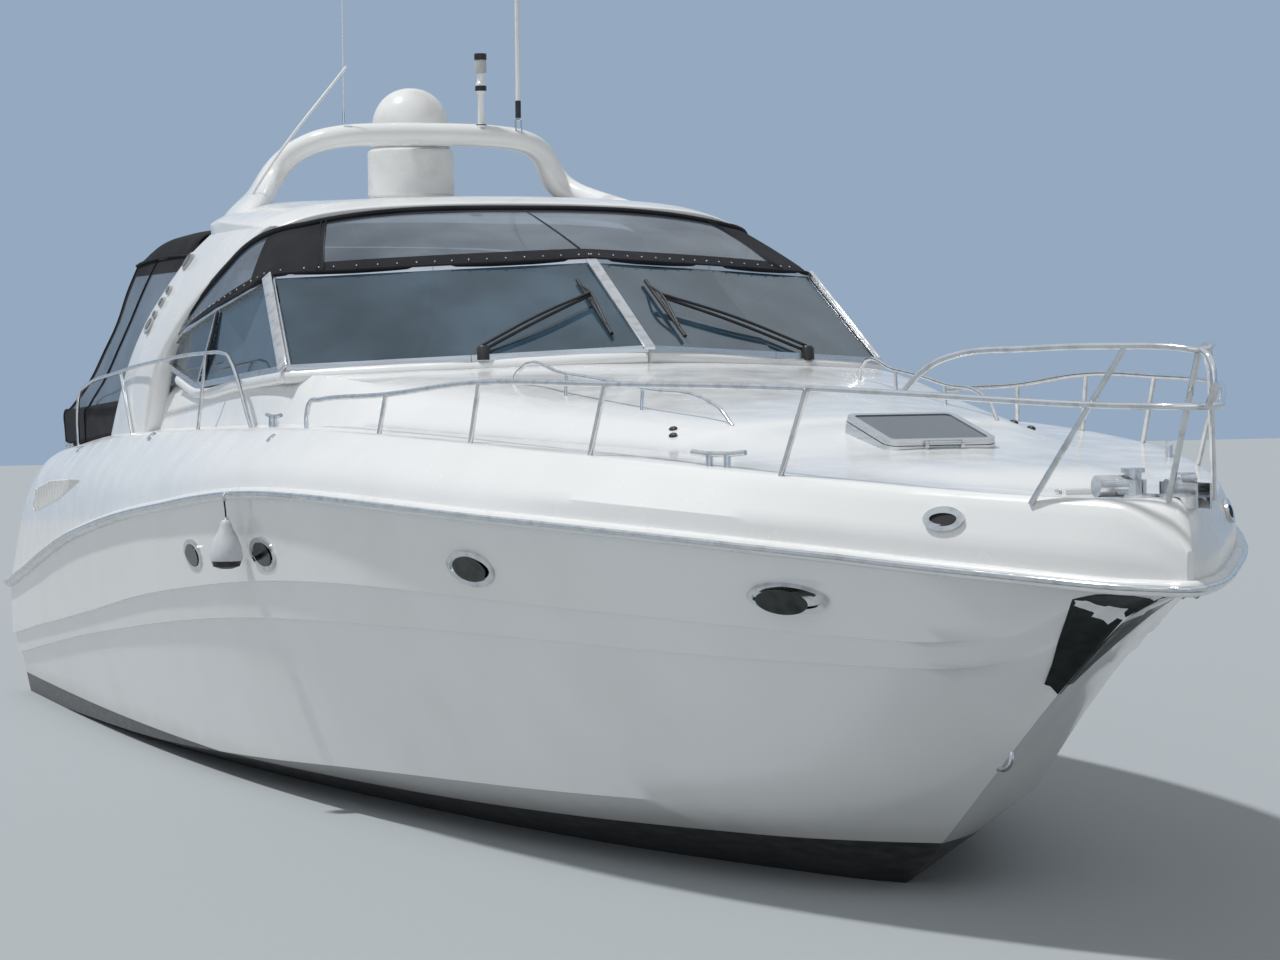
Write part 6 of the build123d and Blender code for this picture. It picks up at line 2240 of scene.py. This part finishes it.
@dataclass
class DeckFittings:
    """Cleats, windlass, vents, fill caps, bow eye, stem plates, arch lights, speakers and the fender."""

    shop: Workshop
    lights: Tuple[Tuple[Point, float, float], ...] = (
        ((-2.463, 1.528, 2.809), 0.034, 0.072),
        ((-2.606, 1.610, 2.645), 0.029, 0.034),
        ((-2.671, 1.638, 2.577), 0.027, 0.039),
        ((-2.737, 1.665, 2.508), 0.024, 0.027),
    )
    speaker: Tuple[Point, float, float] = ((-2.789, 1.686, 2.450), 0.048, 0.072)
    guard: Profile = (
        (5.46, 0.055), (5.58, 0.085), (5.72, 0.125), (5.86, 0.165), (6.00, 0.205), (6.12, 0.170),
        (6.22, 0.110),
    )
    eye: Tuple[Point, ...] = (
        (4.93, 0.0, 0.575), (5.005, 0.0, 0.585), (5.045, 0.0, 0.625), (5.030, 0.0, 0.668), (4.97, 0.0, 0.66),
    )
    vents: Tuple[Point, ...] = ((3.462, 0.807, 1.917), (3.558, 0.844, 1.892))
    vent_size: Point = (0.030, 0.018, 0.012)
    fills: Tuple[Point, ...] = ((0.554, 1.826, 1.846), (-2.10, 1.842, 1.812), (-4.35, 1.800, 1.690))
    fender_spot: Point = (0.545, -2.058, 1.452)
    fender_bell: Profile = (
        (0.0, 0.0), (0.018, -0.004), (0.026, -0.020), (0.034, -0.045), (0.058, -0.090), (0.076, -0.140),
        (0.082, -0.185), (0.078, -0.205), (0.0, -0.205),
    )
    fender_foot: Profile = ((0.0, -0.204), (0.074, -0.204), (0.066, -0.232), (0.030, -0.244), (0.0, -0.244))
    fender_eye: Profile = ((0.0, 0.012), (0.012, 0.010), (0.016, 0.002), (0.018, -0.008), (0.0, -0.010))
    fender_route: Tuple[Point, ...] = (
        (0.560, -2.070, 1.560), (0.558, -2.068, 1.540), (0.553, -2.064, 1.515), (0.548, -2.060, 1.490),
        (0.545, -2.058, 1.464),
    )
    fender_clip: Tuple[Point, ...] = (
        (0.560, -2.050, 1.585), (0.560, -2.068, 1.575), (0.560, -2.072, 1.555), (0.560, -2.060, 1.545),
    )
    cord_thick: float = 0.008
    leg_out: Point = (0.10, 0.92, 0.38)
    leg_up: Point = (0.62, 0.0, 0.78)
    bezel_deep: float = 0.012
    lens_deep: float = 0.018
    lens_shares: Tuple[float, float] = (0.72, 0.78)
    speaker_cone: Tuple[float, float] = (0.028, 0.046)
    skins: Tuple[Tuple[str, float, float], ...] = (
        ("cleats", 0.8, 0.0),
        ("windlass", 0.6, 0.004),
        ("anchor_roller", 0.6, 0.003),
    )
    door_pin: Tuple[Point, ...] = ((-5.203, 1.289, 0.962), (-5.203, 1.289, 1.438))
    locker_pin: Tuple[Point, ...] = ((5.636, 0.078, 1.706), (5.636, 0.100, 1.706))

    def oval(
        self, shape: bmesh.types.BMesh, spot: Point, side: int, wide: float, tall: float, deep: float
    ) -> None:
        """A shallow oval boss on the arch leg's outer face.

        Args:
            shape: The bmesh that gets the boss.
            spot: Its place on the port leg.
            side: 1 for port, -1 for starboard.
            wide: Half its width.
            tall: Half its height.
            deep: How thick it is.
        """
        normal = Vector(Rails.sided([self.leg_out], side)[0]).normalized()
        up = Vector(self.leg_up)
        up = (up - normal * up.dot(normal)).normalized()
        across = up.cross(normal)
        made = bmesh.ops.create_cone(shape, cap_ends=True, segments=28, radius1=1.0, radius2=0.84, depth=1.0)
        centre = Vector((spot[0], side * spot[1], spot[2])) + normal * deep * 0.35
        posed(shape, made["verts"], (across * wide, up * tall, normal * deep), centre)

    def arch_lights(self) -> None:
        """Small recessed lights down each arch leg, and a speaker below them."""
        for word, side in SIDES:
            bezels, lenses = bmesh.new(), bmesh.new()
            for spot, wide, tall in self.lights + (self.speaker,):
                self.oval(bezels, spot, side, wide, tall, self.bezel_deep)
            for spot, wide, tall in self.lights:
                across, up = self.lens_shares
                self.oval(lenses, spot, side, wide * across, tall * up, self.lens_deep)
            self.oval(lenses, self.speaker[0], side, *self.speaker_cone, self.lens_deep)
            self.shop.shaped("arch_light_bezels_" + word, bezels, "white_plastic", finish="lamp_lens")
            self.shop.shaped("arch_light_lenses_" + word, lenses, "black_plastic", finish="lamp_dark")

    def stem_plates(self) -> None:
        """Polished plates over the stem, following the hull's flare; their near-black mirror colour is a
        painted dark reflection, not the steel's own.
        """
        for word, side in SIDES:
            rows = []
            for x, reach in self.guard:
                row = section_at(x * 1000)
                spots = [(x, side * 0.004, row.z_keel / 1000 - 0.004)]
                heights = range(int(row.z_chine), int(row.z_rail))
                top = next((z for z in heights if row.side_y(z) / 1000 >= reach), row.z_rail - 30)
                for step in range(5):
                    z = row.z_chine + (top - row.z_chine) * step / 4
                    lines = (0 if z < row.z_low else 1 if z < row.z_high else 2) * row.step()
                    spots.append((x, side * ((row.side_y(z) + lines) / 1000 + 0.005), z / 1000 - 0.001))
                rows.append(spots)
            shape = bmesh.new()
            bmesh.ops.create_grid(shape, x_segments=5, y_segments=len(rows) - 1, size=1.0)
            for count, vert in enumerate(sorted(shape.verts, key=grid_place)):
                row, column = divmod(count, 6)
                vert.co = rows[row][column]
            plated(
                self.shop.shaped("stem_plate_" + word, shape, "stainless", sharp=0.9, finish="dark_mirror")
            )

    def bow_eye(self) -> None:
        """The towing eye on the stem."""
        self.shop.tube("bow_eye", [self.eye], 0.010, "stainless")

    def small_fittings(self) -> None:
        """Two vents on each side of the trunk, and the fill caps along the side deck."""
        for word, side in SIDES:
            vents = bmesh.new()
            for spot in Rails.sided(self.vents, side):
                made = bmesh.ops.create_uvsphere(vents, u_segments=16, v_segments=8, radius=1.0)
                turn = Matrix.Rotation(-side * 0.35, 4, "X")
                fit = Matrix.Translation(spot) @ turn @ Matrix.Diagonal((*self.vent_size, 1.0))
                bmesh.ops.transform(vents, matrix=fit, verts=made["verts"])
            self.shop.shaped("trunk_vents_" + word, vents, "black_plastic")
            caps = bmesh.new()
            for spot in Rails.sided(self.fills, side):
                made = bmesh.ops.create_cone(
                    caps, cap_ends=True, segments=24, radius1=0.034, radius2=0.026, depth=0.014
                )
                fit = Matrix.Translation(spot) @ Matrix.Rotation(-side * 0.75, 4, "X")
                bmesh.ops.transform(caps, matrix=fit, verts=made["verts"])
            self.shop.shaped("deck_fills_" + word, caps, "stainless")

    def fender(self) -> None:
        """The small bell-shaped fender on its line between the after portholes."""
        x, y, top = self.fender_spot
        for name, profile, slot, sharp, finish in (
            ("fender_body", self.fender_bell, "white_plastic", 1.2, "fender_vinyl"),
            ("fender_foot", self.fender_foot, "black_plastic", 0.6, None),
            ("fender_eye", self.fender_eye, "stainless", 0.6, None),
        ):
            line = [(radius, top + height) for radius, height in profile]
            piece = self.shop.turned(name, line, (x, y, 0.0), slot, sharp=sharp, finish=finish)
        line = bpy.data.curves.new("fender_line", "CURVE")
        line.dimensions = "3D"
        line.bevel_depth = self.cord_thick / 2
        line.bevel_resolution = 3
        line.use_fill_caps = True
        route = self.fender_route
        spline = line.splines.new("NURBS")
        spline.points.add(len(route) - 1)
        for point, place in zip(spline.points, route):
            point.co = (*place, 1.0)
        spline.order_u = 3
        spline.use_endpoint_u = True
        cord = self.shop.place("fender_line", line, "black_plastic", finish="canvas")
        self.shop.tube("fender_rail_clip", [self.fender_clip], 0.007, "stainless")

    def build(self) -> None:
        """Make every fitting."""
        for node, sharp, round_off in self.skins:
            self.shop.polished(node, sharp, round_off)
        self.arch_lights()
        self.stem_plates()
        self.bow_eye()
        self.small_fittings()
        self.fender()
        self.shop.tube("transom_door_pin", [self.door_pin], 0.006, "stainless", lay=Lay.STRAIGHT)
        pins = [Rails.sided(self.locker_pin, side) for _, side in SIDES]
        self.shop.tube("anchor_locker_pins", pins, 0.005, "stainless", lay=Lay.STRAIGHT)


@dataclass
class Cushions:
    """The crowned, piped cushions of the cockpit benches and the helm seat."""

    shop: Workshop
    round_off: float = 0.030
    inset: float = 0.010
    corner: float = 0.038
    piping_in: float = 0.028
    pedestal_spot: Point = (-1.150, -0.870, 0.0)
    pedestal: Profile = (
        (0.0, 0.822), (0.165, 0.822), (0.160, 0.836), (0.112, 0.850), (0.100, 0.870), (0.100, 1.190),
        (0.130, 1.215), (0.130, 1.240), (0.0, 1.240),
    )
    benches: Tuple[Tuple[str, str, Point, Point], ...] = (
        ("transom_seat", "cockpit_lounge", (-5.150, -1.420, 1.130), (-4.700, -0.370, 1.262)),
        ("transom_seat_mid", "cockpit_lounge", (-5.150, -0.365, 1.130), (-4.700, 0.690, 1.262)),
        ("transom_back", "cockpit_lounge", (-5.150, -1.400, 1.262), (-5.015, 0.670, 1.528)),
        ("port_seat_aft", "cockpit_lounge", (-2.900, 0.855, 1.130), (-1.855, 1.420, 1.262)),
        ("port_seat_fore", "cockpit_lounge", (-1.850, 0.855, 1.130), (-0.800, 1.420, 1.262)),
        ("port_back", "cockpit_lounge", (-2.880, 1.295, 1.262), (-0.820, 1.420, 1.528)),
        ("helm_cushion", "helm_seat", (-1.440, -1.305, 1.235), (-0.860, -0.435, 1.395)),
        ("helm_back", "helm_seat", (-1.480, -1.285, 1.395), (-1.322, -0.455, 1.885)),
    )
    bases: Tuple[Tuple[str, Point, Point], ...] = (
        ("transom_base", (-5.150, -1.420, 0.820), (-4.720, 0.680, 1.135)),
        ("port_base", (-2.900, 0.860, 0.820), (-0.800, 1.420, 1.135)),
    )

    def cushion(self, name: str, low: Point, high: Point) -> bpy.types.Object:
        """A box with crowned faces and soft edges, drawn in at its piping.

        Args:
            name: The piece's name.
            low: The box's lower corner.
            high: Its upper corner.

        Returns:
            The cushion's object.
        """
        shape = bmesh.new()
        boxed(shape, low, high)
        size = [h - l for l, h in zip(low, high)]
        middle = Vector([(l + h) / 2 for l, h in zip(low, high)])
        rounded(shape, min(self.round_off, min(size) * 0.3), 4)
        long = [edge for edge in shape.edges if edge.calc_length() > 0.10]
        bmesh.ops.subdivide_edges(shape, edges=long, cuts=7, use_grid_fill=True)
        half = [extent / 2 for extent in size]
        thin = size.index(min(size))
        for vert in shape.verts:
            off = vert.co - middle
            shares = [max(0.0, 1.0 - abs(off[k] / half[k]) ** 2.6) for k in range(3)]
            others = [shares[k] for k in range(3) if k != thin]
            crown = others[0] * others[1]
            off[thin] *= 0.90 + 0.10 * crown
            vert.co = middle + off
        return self.shop.shaped(name, shape, "vinyl", sharp=1.4)

    def piping(self, name: str, low: Point, high: Point) -> None:
        """A bead of welting round the cushion's front and back outlines.

        Args:
            name: The piece's name.
            low: The cushion's lower corner.
            high: Its upper corner.
        """
        size = [h - l for l, h in zip(low, high)]
        thin = size.index(min(size))
        along = [k for k in range(3) if k != thin]
        lines = []
        for depth in (low[thin] + self.piping_in, high[thin] - self.piping_in):
            line = []
            for turn, (sa, sb) in enumerate(((1, -1), (1, 1), (-1, 1), (-1, -1))):
                for step in range(3):
                    angle = math.radians(-90 + 90 * turn + 45 * step)
                    spot = [0.0, 0.0, 0.0]
                    spot[thin] = depth
                    for axis, sign, swing in (
                        (along[0], sa, math.cos(angle)), (along[1], sb, math.sin(angle))
                    ):
                        edge = high[axis] if sign > 0 else low[axis]
                        spot[axis] = edge - sign * (self.inset + self.corner) + self.corner * swing
                    line.append(tuple(spot))
            lines.append(line + line[:1])
        self.shop.tube(name, lines, 0.005, "vinyl")

    def build(self) -> None:
        """Make the bases and the cushions, and let them stand for the solids."""
        stand_for: Dict[str, bpy.types.Object] = {}
        for name, node, low, high in self.benches:
            piece = self.cushion(name, low, high)
            self.piping(name + "_piping", low, high)
            stand_for.setdefault(node, piece)
        for name, low, high in self.bases:
            shape = bmesh.new()
            boxed(shape, low, high)
            rounded(shape, 0.012, 3)
            self.shop.shaped(name, shape, "gelcoat", sharp=0.8)
        self.shop.turned("helm_pedestal", self.pedestal, self.pedestal_spot, "stainless", sharp=0.5)
        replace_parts(stand_for["cockpit_lounge"], "cockpit_lounge")
        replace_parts(stand_for["helm_seat"], "helm_seat")


@dataclass
class PlainParts:
    """CAD nodes whose shape is right: they stay, each with its own finish."""

    shop: Workshop

    def build(self) -> None:
        """Paint every CAD node with its slot's material."""
        for node, slot in self.shop.slots.items():
            source = frame["nodes"].get(node)
            if source is None:
                continue
            source.data.materials.clear()
            source.data.materials.append(self.shop.finishes.of(slot))
            LOG.info("node %s painted %s", node, slot)


def main() -> None:
    """Build the boat's dressing in order."""
    logging.basicConfig(level=logging.INFO, format="%(message)s")
    Studio().build()
    shop = Workshop(Finishes())
    PlainParts(shop).build()
    Mouldings(shop).build()
    Superstructure(shop).build()
    Rails(shop).build()
    RubRail(shop).build()
    FrontCanvas(shop).build()
    AftCanvas(shop).build()
    Glazing(shop).build()
    Openings(shop).build()
    DeckFittings(shop).build()
    Cushions(shop).build()


if __name__ == "__main__":
    main()
